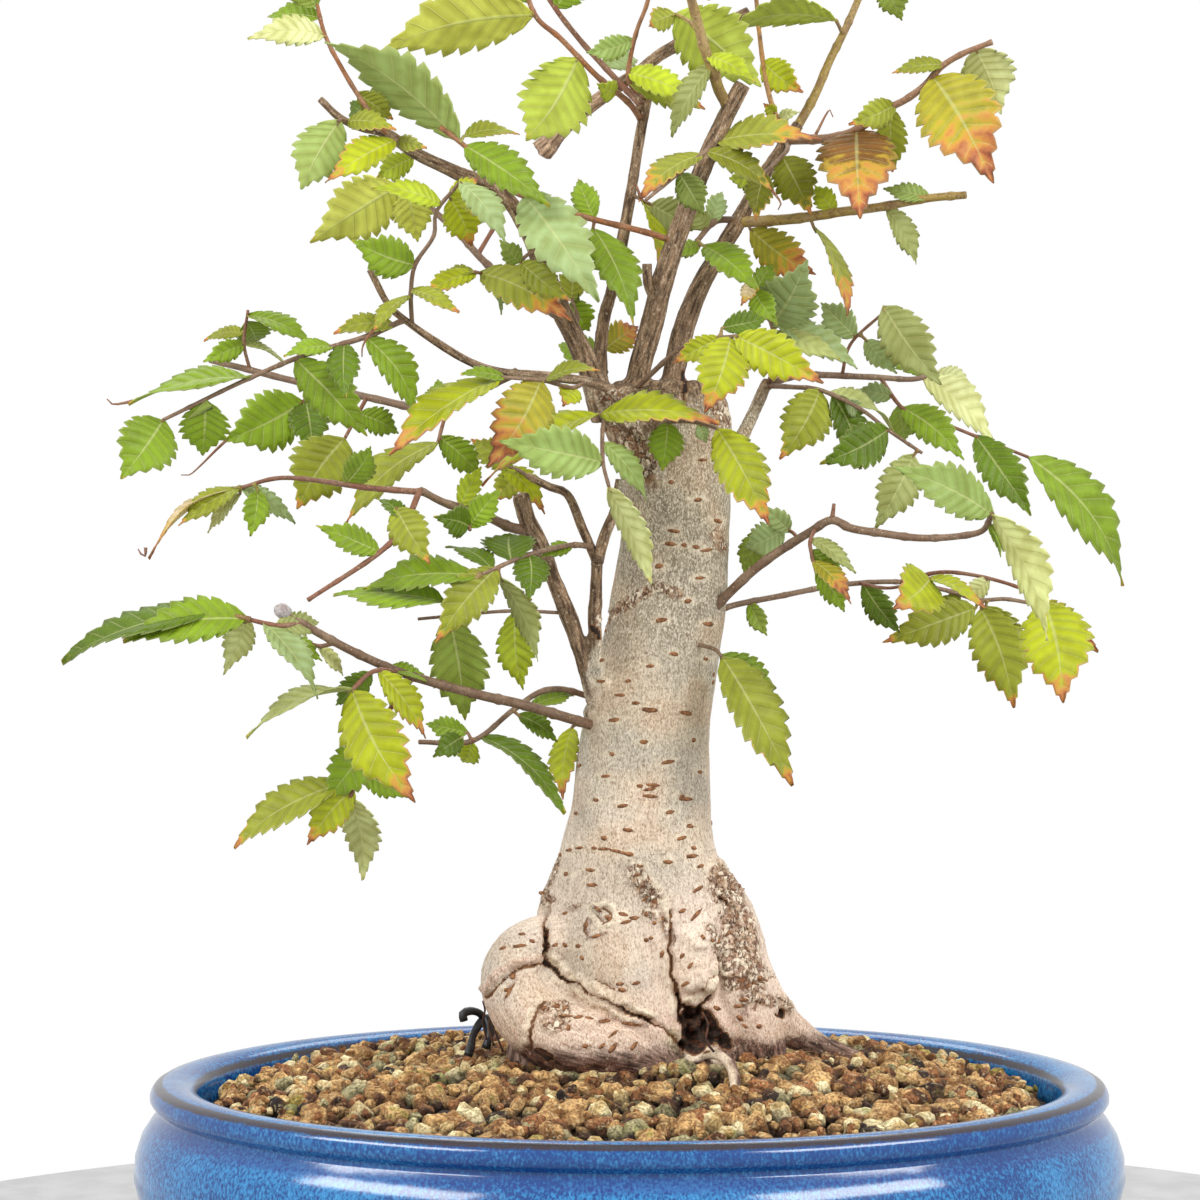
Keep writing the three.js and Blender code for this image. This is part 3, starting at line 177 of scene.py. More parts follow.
BRANCHES: dict[str, Branch] = {
    "lowest": Branch(Stem((3.1, 2.3), ((600, 728, 2), (578, 721, -5), (520, 704, -15), (480, 695, -23),
        (400, 672, -37), (350, 650, -46), (310, 628, -52), (283, 612, -56))),
        sides=(Stem((1.6, 1.2), ((300, 622, -54), (280, 626, -58), (247, 619, -59))), Stem((1.3, 1.1),
            ((335, 642, -49), (318, 646, -45), (302, 640, -43))), Stem((1.6, 1.2), ((400, 672, -37), (372, 672, -48),
            (352, 690, -53))), Stem((1.6, 1.1), ((414, 676, -35), (374, 735, -40), (350, 798, -46)))),
        tints="GDPBGPDYSYGSGGYPV",
        leaves=((248, 618, 122, 638, 46, -3, 1), (212, 611, 60, 659, 27, 9, 1), (248, 624, 224, 672, 32, 9, -1),
            (262, 626, 323, 692, 27, -6, 1), (292, 638, 321, 660, 20, -4, 1), (316, 646, 346, 674, 15, 5, 1),
            (370, 672, 335, 706, 30, 8, 1), (353, 691, 415, 802, 66, -7, 1), (349, 691, 243, 728, 9, -9, 1),
            (378, 668, 427, 738, 30, 7, 1), (392, 664, 434, 680, 14, 8, 1), (274, 622, 322, 620, 26, 10, 1),
            (370, 738, 324, 803, 47, -8, 1), (363, 770, 408, 798, 28, 5, 1), (354, 786, 307, 845, 38, -3, 1),
            (348, 800, 364, 878, 38, 9, -1), (340, 784, 229, 841, 38, 3, 1))),
    "lowest_thin": Branch(Stem((1.9, 1.4), ((600, 700, 6), (560, 689, 0), (540, 692, -3), (513, 710, -7),
        (472, 741, -14), (419, 742, -21))),
        tints="GDLDDG",
        leaves=((468, 733, 425, 724, 24, 6, 1), (462, 737, 434, 756, 26, -5, 1), (470, 742, 462, 764, 26, 9, 1),
            (478, 733, 567, 810, 24, -10, 1), (518, 715, 558, 742, 22, 5, 1), (530, 707, 574, 692, 15, 8, 1))),
    "trunk_left": Branch(Stem((1.3, 1), ((596, 716, 10), (580, 722, 11), (572, 727, 11))),
        tints="Y",
        leaves=((573, 727, 562, 798, 30, -9, 1),)),
    "stem_left": Branch(Stem((1.8, 1.1), ((592, 547, -16), (575, 545, -24), (546, 550, -33), (520, 558, -39),
        (478, 576, -46))),
        tints="GDDVGDGS",
        leaves=((572, 546, 540, 556, 16, -6, 1), (512, 560, 511, 532, 56, 16, 1), (528, 557, 529, 598, 38, -9, 1),
            (495, 568, 436, 642, 46, -8, 1), (474, 580, 362, 583, 32, 3, 1), (492, 566, 446, 545, 18, 12, 1),
            (444, 602, 333, 592, 30, 9, 1), (500, 577, 542, 658, 25, 3, -1))),
    "stem_low": Branch(Stem((1.2, 1), ((566, 613, -11), (510, 611, -19), (450, 616, -27), (418, 619, -30))),
        tints="LG",
        leaves=((513, 613, 523, 691, 40, 5, 1), (452, 618, 465, 720, 60, 12, 1))),
    "stem_fork": Branch(Stem((3.2, 2), ((534, 532, -20), (510, 527, -24), (480, 513, -30), (445, 503, -36),
        (420, 490, -41))),
        sides=(Stem((1.8, 1.2), ((422, 491, -41), (402, 530, -47), (380, 552, -50), (308, 600, -59))), Stem((1.2, 1),
            ((466, 509, -32), (470, 530, -40))), Stem((1.9, 1.1), ((424, 492, -40), (370, 488, -34), (280, 478, -25),
            (240, 488, -22)))),
        tints="VGDDGLVPBGTG",
        leaves=((396, 508, 429, 562, 42, -7, 1), (380, 552, 318, 524, 30, -5, 1), (402, 522, 378, 496, 16, 5, 1),
            (464, 526, 438, 518, 34, -12, 1), (472, 524, 501, 489, 30, -2, 1), (458, 508, 482, 466, 24, 3, 1),
            (242, 486, 177, 522, 22, -6, 1), (240, 494, 206, 532, 18, 5, 1), (238, 487, 298, 521, 22, 7, 1),
            (258, 490, 250, 536, 28, -3, 1), (232, 488, 142, 550, 5, 3, 1), (344, 487, 371, 446, 32, 6, 1))),
    "stem_end": Branch(Stem((1.3, 1), ((532, 480, -4), (518, 470, -1), (502, 466, 1))),
        tints="YVY",
        leaves=((503, 467, 546, 511, 26, -5, 1), (512, 468, 470, 438, 30, 5, 1), (516, 471, 494, 500, 28, 4, 1))),
    "crotch_front": Branch(Stem((1.4, 1), ((585, 382, -15), (572, 388, -24), (545, 381, -33), (500, 377, -40))),
        tints="OYVYG",
        leaves=((543, 379, 488, 466, 62, -9, 1), (574, 386, 563, 406, 26, -7, 1), (546, 376, 598, 366, 13, -4, 1),
            (500, 377, 388, 453, 36, -9, 1), (504, 374, 461, 373, 13, -5, 1))),
    "near": Branch(Stem((1.6, 1), ((628, 432, -4), (606, 416, -22), (603, 462, -36), (609, 487, -40))),
        tints="KYPKY",
        leaves=((602, 462, 500, 441, 54, -8, 1), (598, 414, 478, 480, 27, 4, 1), (608, 487, 653, 584, 32, -4, -1),
            (604, 440, 648, 500, 26, 5, 1), (600, 414, 719, 418, 30, -8, 1))),
    "trunk_front": Branch(Stem((1.4, 1), ((655, 428, -6), (668, 422, -18), (694, 422, -22), (717, 428, -24))),
        tints="GBY",
        leaves=((668, 424, 662, 471, 38, 1, 1), (698, 423, 707, 443, 15, 1, 1), (718, 430, 769, 524, 52, -4, 1))),
    "grey": Branch(Stem((1.7, 1.2), ((634, 392, -1), (650, 375, -12), (690, 343, -22), (736, 336, -29))),
        tints="YYYDV",
        leaves=((722, 332, 672, 362, 24, 2, 1), (731, 338, 705, 412, 54, -6, 1), (737, 335, 822, 382, 48, -7, 1),
            (722, 328, 768, 318, 26, 8, 1), (738, 342, 741, 378, 26, 12, 1))),
    "left_long": Branch(Stem((1.7, 1), ((404, 320, -40), (365, 337, -46), (305, 355, -51), (250, 378, -56),
        (163, 420, -65))),
        tints="GGGGDGGV",
        leaves=((250, 378, 128, 402, 18, -9, 1), (163, 421, 121, 478, 62, -9, 1), (207, 400, 202, 457, 52, 8, 1),
            (296, 360, 368, 437, 50, 6, 1), (347, 346, 345, 398, 34, -7, 1), (368, 340, 421, 417, 36, 11, 1),
            (334, 345, 284, 356, 17, -8, 1), (395, 326, 334, 329, 20, -5, 1))),
    "rising": Branch(Stem((1.3, 1), ((412, 325, -39), (411, 290, -45), (415, 265, -47), (434, 235, -49),
        (436, 213, -49), (460, 182, -52))),
        tints="LGBVVY",
        leaves=((442, 202, 372, 188, 24, -8, 1), (417, 265, 352, 240, 44, -7, 1), (458, 182, 508, 240, 30, -5, 1),
            (412, 296, 372, 331, 14, -5, 1), (414, 288, 459, 311, 16, -7, 1), (450, 196, 478, 178, 20, 5, 1))),
    "low_left_back": Branch(Stem((2.6, 1.9), ((516, 373, -25), (484, 388, -16), (452, 402, -7), (420, 408, 2),
        (380, 400, 9), (345, 392, 15), (290, 380, 24), (250, 370, 30), (210, 360, 36))),
        sides=(Stem((1.2, 0.9), ((250, 370, 30), (244, 344, 30), (248, 310, 29))), Stem((1.3, 1), ((316, 385, 20),
            (303, 402, 14))), Stem((1.3, 1), ((365, 396, 11), (345, 438, 4))), Stem((1.3, 1), ((446, 404, -6),
            (438, 442, -12)))),
        tints="GGVGSGDVGVGG",
        leaves=((249, 319, 311, 340, 19, -4, 1), (246, 320, 256, 344, 38, 12, 1), (243, 334, 203, 340, 14, 5, 1),
            (243, 345, 204, 361, 23, -5, 1), (245, 344, 286, 359, 8, 5, 1), (303, 402, 224, 441, 62, -5, 1),
            (306, 402, 313, 454, 42, -6, 1), (345, 440, 297, 509, 66, -4, 1), (358, 412, 400, 434, 30, 5, 1),
            (438, 444, 345, 521, 34, -4, 1), (442, 436, 482, 479, 32, 4, 1), (444, 418, 438, 378, 34, 7, 1))),
    "left_back": Branch(Stem((2.7, 2), ((572, 330, -4), (545, 306, 3), (488, 265, 14), (460, 235, 20),
        (432, 209, 26))),
        sides=(Stem((1.5, 1.2), ((478, 256, 16), (499, 219, 23))), Stem((1.3, 1), ((500, 274, 11), (490, 275, -2),
            (475, 272, -15)))),
        tints="AYVB",
        leaves=((480, 271, 571, 320, 46, -12, 1), (476, 273, 423, 296, 22, -6, 1), (476, 268, 437, 279, 12, 5, 1),
            (490, 280, 504, 312, 10, -4, 1))),
    "left_middle": Branch(Stem((1.3, 1), ((536, 250, -13), (526, 256, -19), (520, 262, -22))),
        tints="VG",
        leaves=((522, 262, 569, 300, 32, -5, 1), (519, 262, 500, 240, 22, -4, 1))),
    "left_low": Branch(Stem((1.2, 1), ((572, 330, -5), (578, 318, 1), (572, 300, 4))),
        tints="GV",
        leaves=((572, 298, 590, 332, 34, 5, 1), (570, 300, 578, 262, 30, 4, 1))),
    "left_top_back": Branch(Stem((1.3, 1), ((462, 175, -21), (458, 188, -12), (450, 198, -8))),
        tints="YY",
        leaves=((446, 200, 472, 247, 40, 5, 1), (458, 190, 492, 221, 26, -6, 1))),
    "left_end": Branch(Stem((1.3, 1), ((352, 124, -32), (342, 120, -37), (338, 121, -39))),
        tints="KV",
        leaves=((339, 120, 300, 190, 54, -5, -1), (346, 122, 394, 126, 22, -7, 1))),
    "left_end_low": Branch(Stem((1.3, 1), ((402, 146, -27), (398, 142, -33), (396, 140, -36))),
        tints="YV",
        leaves=((396, 139, 325, 180, 34, -8, 1), (400, 138, 425, 147, 17, -5, 1))),
    "left_end_back": Branch(Stem((1.3, 1), ((420, 156, -25), (412, 158, -19), (402, 166, -14), (396, 180, -10))),
        tints="LWW",
        leaves=((412, 154, 377, 178, 28, 7, 1), (398, 186, 312, 241, 64, 9, -1), (406, 188, 418, 242, 40, 5, 1))),
    "left_end_top": Branch(Stem((1.5, 1.1), ((388, 136, -29), (376, 121, -32), (360, 98, -34), (344, 72, -36),
        (325, 35, -38), (316, 0, -39))),
        tints="PDVGLG",
        leaves=((326, 32, 248, 37, 32, -5, 1), (378, 122, 349, 102, 28, 7, 1), (362, 92, 393, 120, 28, 8, 1),
            (320, 16, 266, 14, 26, 9, 1), (316, 0, 344, -58, 38, 6, 1), (318, 6, 280, -44, 38, -5, 1))),
    "across": Branch(Stem((1.9, 1.5), ((676, 242, -9), (645, 232, -13), (600, 221, -15), (560, 210, -18),
        (535, 200, -20), (505, 187, -24), (480, 160, -29), (460, 142, -31), (440, 127, -33))),
        tints="KGVBPGG",
        leaves=((461, 137, 328, 37, 52, -12, -1), (466, 140, 551, 204, 42, -3, 1), (464, 136, 520, 133, 16, 8, 1),
            (524, 196, 598, 297, 64, -17, 1), (520, 188, 515, 172, 14, -3, -1), (593, 228, 637, 320, 42, -11, 1),
            (598, 218, 577, 176, 28, 7, 1))),
    "crotch_back": Branch(Stem((1.3, 1), ((606, 372, 9), (602, 362, 17), (604, 350, 21))),
        tints="OG",
        leaves=((606, 345, 640, 325, 34, 8, 1), (602, 352, 556, 344, 36, 9, 1))),
    "middle_side": Branch(Stem((1.2, 0.9), ((633, 195, 13), (642, 200, 8), (650, 204, 6))),
        tints="SY",
        leaves=((648, 203, 698, 230, 40, 5, 1), (643, 200, 660, 266, 18, -9, 1))),
    "orange": Branch(Stem((1.9, 1.3), ((640, 118, 15), (628, 102, 8), (598, 77, 4), (560, 38, 0), (535, 15, -2),
        (516, -60, -4))),
        tints="WLLGVL",
        leaves=((534, 15, 380, 50, 66, -10, -1), (577, 58, 524, 142, 76, -13, -1), (617, 92, 598, 84, 24, -9, 1),
            (530, 4, 470, -64, 42, 9, 1), (520, -45, 566, -92, 44, -8, 1), (516, -60, 488, -128, 40, -4, 1))),
    "red": Branch(Stem((2, 1.4), ((641, 106, 15), (630, 94, 20), (600, 62, 23), (580, 40, 25), (550, 0, 28),
        (532, -40, 30))),
        tints="BGGL",
        leaves=((606, 66, 640, 58, 26, 14, 1), (556, 8, 592, -38, 40, 7, 1), (540, -22, 478, -28, 36, 6, 1),
            (532, -40, 542, -112, 42, 3, 1))),
    "middle_top": Branch(Stem((1.5, 1.1), ((646, 98, 16), (634, 90, 7), (628, 78, 3), (630, 60, 1), (637, 30, -2),
        (648, 0, -4), (658, -80, -5))),
        tints="KLVGLG",
        leaves=((630, 37, 586, 53, 26, 5, 1), (633, 74, 696, 97, 30, -5, 1), (634, 82, 706, 108, 32, 6, 1),
            (650, -8, 606, -48, 38, -6, 1), (656, -44, 704, -96, 40, -7, 1), (658, -80, 634, -150, 40, -3, 1))),
    "centre_shoot": Branch(Stem((3.4, 1.6), ((728, 106, -14), (719, 90, -16), (713, 70, -18), (705, 50, -20),
        (697, 20, -22), (688, -12, -24), (674, -60, -24), (664, -112, -22), (646, -160, -26))),
        sides=(Stem((1.3, 1), ((702, 40, -21), (690, 22, -12), (676, 14, -6))), Stem((1.4, 1), ((680, -40, -24),
            (704, -76, -30)))),
        tints="LYLSGLVGVG",
        leaves=((676, 14, 760, 86, 76, 8, -1), (674, 12, 648, 27, 26, -6, -1), (704, 58, 756, 79, 22, -7, 1),
            (708, 66, 668, 136, 26, 9, 1), (664, -112, 716, -152, 42, -6, 1), (652, -148, 600, -186, 42, 6, 1),
            (646, -160, 660, -206, 40, 10, 1), (698, -64, 746, -84, 36, 8, 1), (704, -76, 724, -132, 40, 4, 1),
            (688, -30, 708, -2, 30, -6, 1))),
    "centre_twig": Branch(Stem((1.5, 1), ((716, 140, -12), (706, 151, -20), (690, 164, -23), (646, 200, -29))),
        tints="AAMD",
        leaves=((714, 142, 820, 134, 30, -6, 1), (702, 153, 638, 200, 26, -6, 1), (706, 153, 774, 191, 27, 3, 1),
            (682, 174, 704, 214, 32, 4, 1))),
    "right_limb_low": Branch(Stem((1.5, 1), ((787, 142, 18), (786, 152, 8), (762, 176, 0))),
        tints="MML",
        leaves=((784, 157, 811, 214, 46, -7, 1), (764, 175, 756, 220, 30, -4, 1), (758, 178, 728, 178, 24, 4, 1))),
    "right_shoot": Branch(Stem((3, 1.6), ((796, 129, 20), (815, 95, 22), (830, 60, 24), (845, 30, 26), (858, 0, 28),
        (872, -36, 30), (880, -74, 31), (878, -120, 27))),
        sides=(Stem((1.4, 1), ((842, 37, 26), (836, 20, 16))), Stem((1.5, 1), ((866, -20, 29), (904, -30, 20)))),
        tints="LGLOGVG",
        leaves=((836, 20, 717, 28, 27, -8, -1), (881, -90, 940, -112, 40, -6, 1), (880, -104, 832, -138, 42, 7, 1),
            (878, -120, 896, -178, 40, -3, 1), (904, -30, 966, -22, 40, -7, 1), (892, -28, 916, -78, 34, -5, 1),
            (886, -27, 902, 20, 32, 5, 1))),
    "yellow": Branch(Stem((1.7, 1.2), ((794, 132, 18), (778, 119, 15), (772, 105, 15), (765, 75, 18), (759, 30, 22),
        (752, -60, 22))),
        tints="YYPLGV",
        leaves=((768, 62, 803, 92, 34, -5, 1), (776, 114, 764, 104, 14, -3, 1), (780, 117, 799, 112, 12, -5, 1),
            (755, -12, 804, -50, 40, -6, 1), (752, -60, 778, -126, 40, 5, 1), (753, -36, 712, -20, 26, 8, 1))),
    "right_knot": Branch(Stem((2.2, 1.6), ((738, 220, 12), (716, 221, 8), (697, 241, 3))),
        tints="BSGG",
        leaves=((710, 222, 722, 190, 22, 6, 1), (704, 228, 688, 206, 22, -4, 1), (704, 246, 758, 288, 32, -15, 1),
            (700, 246, 668, 252, 18, -3, 1))),
    "far": Branch(Stem((3.4, 2.2), ((738, 222, 12), (765, 221, 9), (800, 218, 4), (840, 212, -2), (880, 207, -8),
        (930, 198, -14), (966, 195, -18))),
        tints="AOLKS",
        leaves=((814, 228, 852, 314, 14, -5, 1), (750, 229, 816, 275, 44, 8, 1), (833, 208, 814, 184, 24, 5, 1),
            (932, 195, 883, 188, 20, 6, 1), (886, 210, 918, 263, 24, 6, 1))),
    "far_upper": Branch(Stem((3, 1.6), ((786, 140, 18), (830, 138, 8), (860, 128, -2), (885, 110, -6), (905, 100, -9),
        (925, 85, -12), (940, 68, -14), (960, 55, -17), (992, 42, -21))),
        tints="CVVOVP",
        leaves=((857, 131, 860, 214, 80, -20, 1), (893, 108, 893, 174, 34, 8, 1), (894, 104, 850, 124, 30, -5, 1),
            (936, 76, 991, 179, 84, -14, 1), (944, 66, 892, 73, 18, 3, 1), (976, 50, 1001, 113, 56, 6, -1))),
    "cluster": Branch(Stem((1.8, 1), ((768, 388, 22), (776, 352, 13), (770, 320, 6), (750, 283, -2))),
        tints="BBSGTG",
        leaves=((776, 322, 806, 262, 62, -14, 1), (778, 326, 858, 368, 30, 3, 1), (777, 334, 840, 356, 24, -7, 1),
            (756, 288, 777, 323, 28, -7, 1), (748, 283, 742, 304, 16, -5, 1), (757, 290, 774, 262, 22, 5, 1))),
    "right_back": Branch(Stem((2.3, 1.5), ((762, 390, 21), (790, 377, 24), (870, 377, 34), (915, 379, 40),
        (936, 372, 46))),
        sides=(Stem((1.2, 0.9), ((840, 377, 30), (850, 345, 26), (884, 312, 20))), Stem((1.3, 1), ((880, 378, 35),
            (905, 410, 28), (940, 422, 28), (985, 440, 31), (1028, 457, 35)))),
        tints="SBBPPGGDBGBG",
        leaves=((884, 306, 941, 384, 52, -5, 1), (858, 340, 820, 302, 34, 6, 1), (866, 340, 896, 372, 24, -6, 1),
            (920, 373, 997, 446, 36, 9, 1), (938, 374, 979, 393, 18, 6, 1), (926, 374, 872, 352, 24, 10, 1),
            (1026, 457, 1130, 583, 52, 10, 1), (976, 438, 1032, 514, 42, -7, 1), (998, 444, 1012, 488, 30, 7, 1),
            (902, 409, 964, 459, 38, -9, 1), (893, 397, 858, 389, 22, 5, 1), (898, 403, 906, 442, 28, 9, 1))),
    "right_inner": Branch(Stem((1.6, 1), ((768, 386, 21), (792, 387, 10), (820, 390, 3), (862, 410, -4),
        (888, 430, -8), (922, 453, -12))),
        tints="VDDSBS",
        leaves=((818, 391, 780, 459, 52, -7, 1), (830, 398, 863, 470, 36, 6, 1), (888, 433, 822, 463, 46, -8, 1),
            (914, 455, 876, 528, 44, -3, 1), (846, 402, 864, 414, 18, 6, 1), (830, 390, 898, 424, 13, 9, 1))),
    "low_right": Branch(Stem((3.2, 1.6), ((700, 624, 2), (722, 600, -2), (760, 565, -8), (810, 532, -15),
        (832, 520, -18), (850, 528, -21), (880, 533, -26), (920, 538, -32), (960, 536, -38), (982, 531, -42),
        (992, 514, -50))),
        sides=(Stem((1.3, 0.9), ((816, 528, -16), (810, 545, -24), (816, 572, -26))), Stem((1.2, 0.9),
            ((798, 540, -13), (790, 531, -7), (768, 528, 1))), Stem((1.6, 1), ((832, 520, -18), (834, 504, -20)))),
        tints="KPGSGOGBBG",
        leaves=((991, 514, 895, 467, 50, -8, 1), (993, 515, 1054, 638, 40, -6, -1), (986, 524, 1003, 557, 12, 5, 1),
            (812, 540, 856, 573, 18, -5, 1), (812, 548, 846, 580, 26, 5, 1), (812, 560, 852, 602, 22, -7, 1),
            (815, 573, 845, 612, 26, 6, 1), (784, 529, 744, 548, 38, 6, 1), (790, 530, 762, 506, 24, -5, 1),
            (768, 528, 742, 574, 28, 9, 1))),
    "low_far": Branch(Stem((1.9, 1.2), ((700, 622, 9), (722, 609, 11), (780, 596, 18), (840, 585, 26), (900, 582, 33),
        (936, 588, 37), (956, 593, 39), (978, 600, 40), (1005, 599, 42), (1030, 603, 44))),
        sides=(Stem((1.2, 1), ((860, 583, 29), (890, 588, 20), (930, 578, 14))), Stem((1.3, 1), ((900, 582, 33),
            (945, 572, 26), (1020, 588, 14), (1045, 604, 9)))),
        tints="DYYVVVOVYPG",
        leaves=((862, 588, 901, 634, 30, 3, 1), (932, 577, 897, 606, 58, -14, 1), (932, 576, 986, 604, 14, -7, 1),
            (976, 608, 884, 642, 47, -6, 1), (981, 608, 1014, 708, 58, -8, 1), (986, 606, 1022, 662, 36, 5, 1),
            (1028, 604, 1098, 652, 38, 6, 1), (962, 594, 940, 616, 24, 7, 1), (1046, 606, 1063, 703, 74, -14, 1),
            (990, 580, 965, 598, 22, 5, 1), (750, 606, 767, 635, 20, 2, 1))),
    "trunk_right": Branch(Stem((1.3, 1), ((696, 644, -4), (716, 650, -12), (722, 657, -15))),
        tints="GV",
        leaves=((720, 655, 781, 713, 36, 8, 1), (722, 662, 794, 784, 56, -4, 1))),
}


def paint(red: int, green: int, blue: int) -> tuple[float, float, float, float]:
    """Turns screen values from 0 to 255 into a linear colour."""
    def linear(value: int) -> float:
        """Turns one screen value into light."""
        share = value / 255
        return share / 12.92 if share <= 0.04045 else ((share + 0.055) / 1.055) ** 2.4
    return (linear(red), linear(green), linear(blue), 1.0)


def tone(red: int, green: int, blue: int) -> np.ndarray:
    """Turns screen values into a linear colour for painting on many vertices."""
    return np.array(paint(red, green, blue)[:3])


def blended(first: Sequence[float], second: Sequence[float], share: float) -> tuple[float, ...]:
    """Mixes two colours by a share of the second."""
    return tuple(a + (b - a) * share for a, b in zip(first, second))


def eased(low: float, high: float, value: float) -> float:
    """Rises smoothly from 0 at low to 1 at high."""
    share = min(1.0, max(0.0, (value - low) / (high - low)))
    return share * share * (3 - 2 * share)


class Wire:
    """A shader value that takes part in Python expressions."""

    def __init__(self, tree: bpy.types.NodeTree, socket: bpy.types.NodeSocket) -> None:
        """Wraps one output socket."""
        self.tree = tree
        self.socket = socket

    def math(self, operation: str, *values: "Wire | float") -> "Wire":
        """Adds a Math node.

        Args:
            operation: The node's operation.
            values: Its inputs in order.

        Returns:
            The node's result.
        """
        node = self.tree.nodes.new("ShaderNodeMath")
        node.operation = operation
        for socket, value in zip(node.inputs, values):
            if isinstance(value, Wire):
                self.tree.links.new(value.socket, socket)
            else:
                socket.default_value = value
        return Wire(self.tree, node.outputs[0])

    def __add__(self, other: "Wire | float") -> "Wire":
        """Adds."""
        return self.math("ADD", self, other)

    def __radd__(self, other: float) -> "Wire":
        """Adds to a number."""
        return self.math("ADD", other, self)

    def __sub__(self, other: "Wire | float") -> "Wire":
        """Subtracts."""
        return self.math("SUBTRACT", self, other)

    def __rsub__(self, other: float) -> "Wire":
        """Subtracts from a number."""
        return self.math("SUBTRACT", other, self)

    def __mul__(self, other: "Wire | float") -> "Wire":
        """Multiplies."""
        return self.math("MULTIPLY", self, other)


class Board:
    """A material's node board."""

    def __init__(self, name: str) -> None:
        """Makes an empty material."""
        self.material = bpy.data.materials.new(name)
        self.material.use_nodes = True
        self.tree = self.material.node_tree
        self.tree.nodes.clear()

    def node(
        self,
        kind: str,
        settings: dict[str, object] | None = None,
        sockets: dict[str | int, object] | None = None,
    ) -> bpy.types.Node:
        """Adds a node.

        Args:
            kind: The node's type, without its leading ShaderNode.
            settings: Its properties, or a ramp's stops as place and colour.
            sockets: Values or wires for its inputs, by name or number.

        Returns:
            The node.
        """
        made = self.tree.nodes.new("ShaderNode" + kind)
        for name, value in (settings or {}).items():
            if name == "stops":
                ramp = made.color_ramp
                while len(ramp.elements) < len(value):
                    ramp.elements.new(0.5)
                for element, (place, colour) in zip(ramp.elements, value):
                    element.position = place
                    element.color = colour
            else:
                setattr(made, name, value)
        for key, value in (sockets or {}).items():
            if isinstance(value, Wire):
                self.tree.links.new(value.socket, made.inputs[key])
            else:
                made.inputs[key].default_value = value
        return made

    def wire(self, made: bpy.types.Node, output: str | int = 0) -> Wire:
        """Wraps a node's output."""
        return Wire(self.tree, made.outputs[output])

    def place(self, size: tuple[float, float, float] = (1, 1, 1)) -> Wire:
        """Gives the place on the object, stretched by a size along each axis."""
        spot = self.wire(self.node("TexCoord"), "Object")
        return self.wire(self.node("Mapping", sockets={"Vector": spot, "Scale": size}))

    def grain(self, where: Wire, scale: float, detail: float = 3.0, roughness: float = 0.55) -> Wire:
        """Gives soft noise from about 0 to 1.

        Args:
            where: The place to read.
            scale: How many waves there are in a metre.
            detail: How many finer layers it has.
            roughness: How strong the finer layers are.

        Returns:
            The noise.
        """
        made = self.node("TexNoise", sockets={
            "Vector": where, "Scale": scale, "Detail": detail, "Roughness": roughness,
        })
        return self.wire(made)

    def cells(self, where: Wire, scale: float, feature: str = "F1", output: str = "Distance") -> Wire:
        """Gives a cell pattern's distance or colour."""
        return self.wire(self.node("TexVoronoi", {"feature": feature}, {"Vector": where, "Scale": scale}), output)

    def step(self, value: Wire, low: float, high: float) -> Wire:
        """Rises smoothly from 0 at low to 1 at high, or falls where low is the higher."""
        rise = self.node("MapRange", {"interpolation_type": "SMOOTHSTEP"}, {
            "Value": value,
            "From Min": min(low, high),
            "From Max": max(low, high),
            "To Min": 0.0 if low < high else 1.0,
            "To Max": 1.0 if low < high else 0.0,
        })
        return self.wire(rise)

    def mix(self, share: Wire | float, first: Wire | tuple, second: Wire | tuple, blend: str = "MIX") -> Wire:
        """Mixes two colours.

        Args:
            share: How much of the second there is.
            first: The colour below.
            second: The colour above.
            blend: The way of mixing.

        Returns:
            The mixed colour.
        """
        made = self.node("Mix", {"data_type": "RGBA", "blend_type": blend}, {0: share, 6: first, 7: second})
        return self.wire(made, 2)

    def bump(self, height: Wire, strength: float, depth: float) -> Wire:
        """Gives a bumped normal from a height of 0 to 1 and its depth in metres."""
        made = self.node("Bump", sockets={"Height": height, "Strength": strength, "Distance": depth})
        return self.wire(made, "Normal")

    def painted(self, name: str) -> Wire:
        """Reads a colour that is painted on the mesh."""
        return self.wire(self.node("Attribute", {"attribute_name": name}), "Color")

    def parts(self, colour: Wire) -> list[Wire]:
        """Splits a colour into its red, green and blue."""
        split = self.node("SeparateColor", sockets={"Color": colour})
        return [self.wire(split, i) for i in range(3)]

    def surface(self, sockets: dict[str, object]) -> Wire:
        """Adds the main shader."""
        return self.wire(self.node("BsdfPrincipled", sockets=sockets))

    def finish(self, shader: Wire) -> bpy.types.Material:
        """Joins the shader to the output and gives the material."""
        self.node("OutputMaterial", sockets={"Surface": shader})
        return self.material


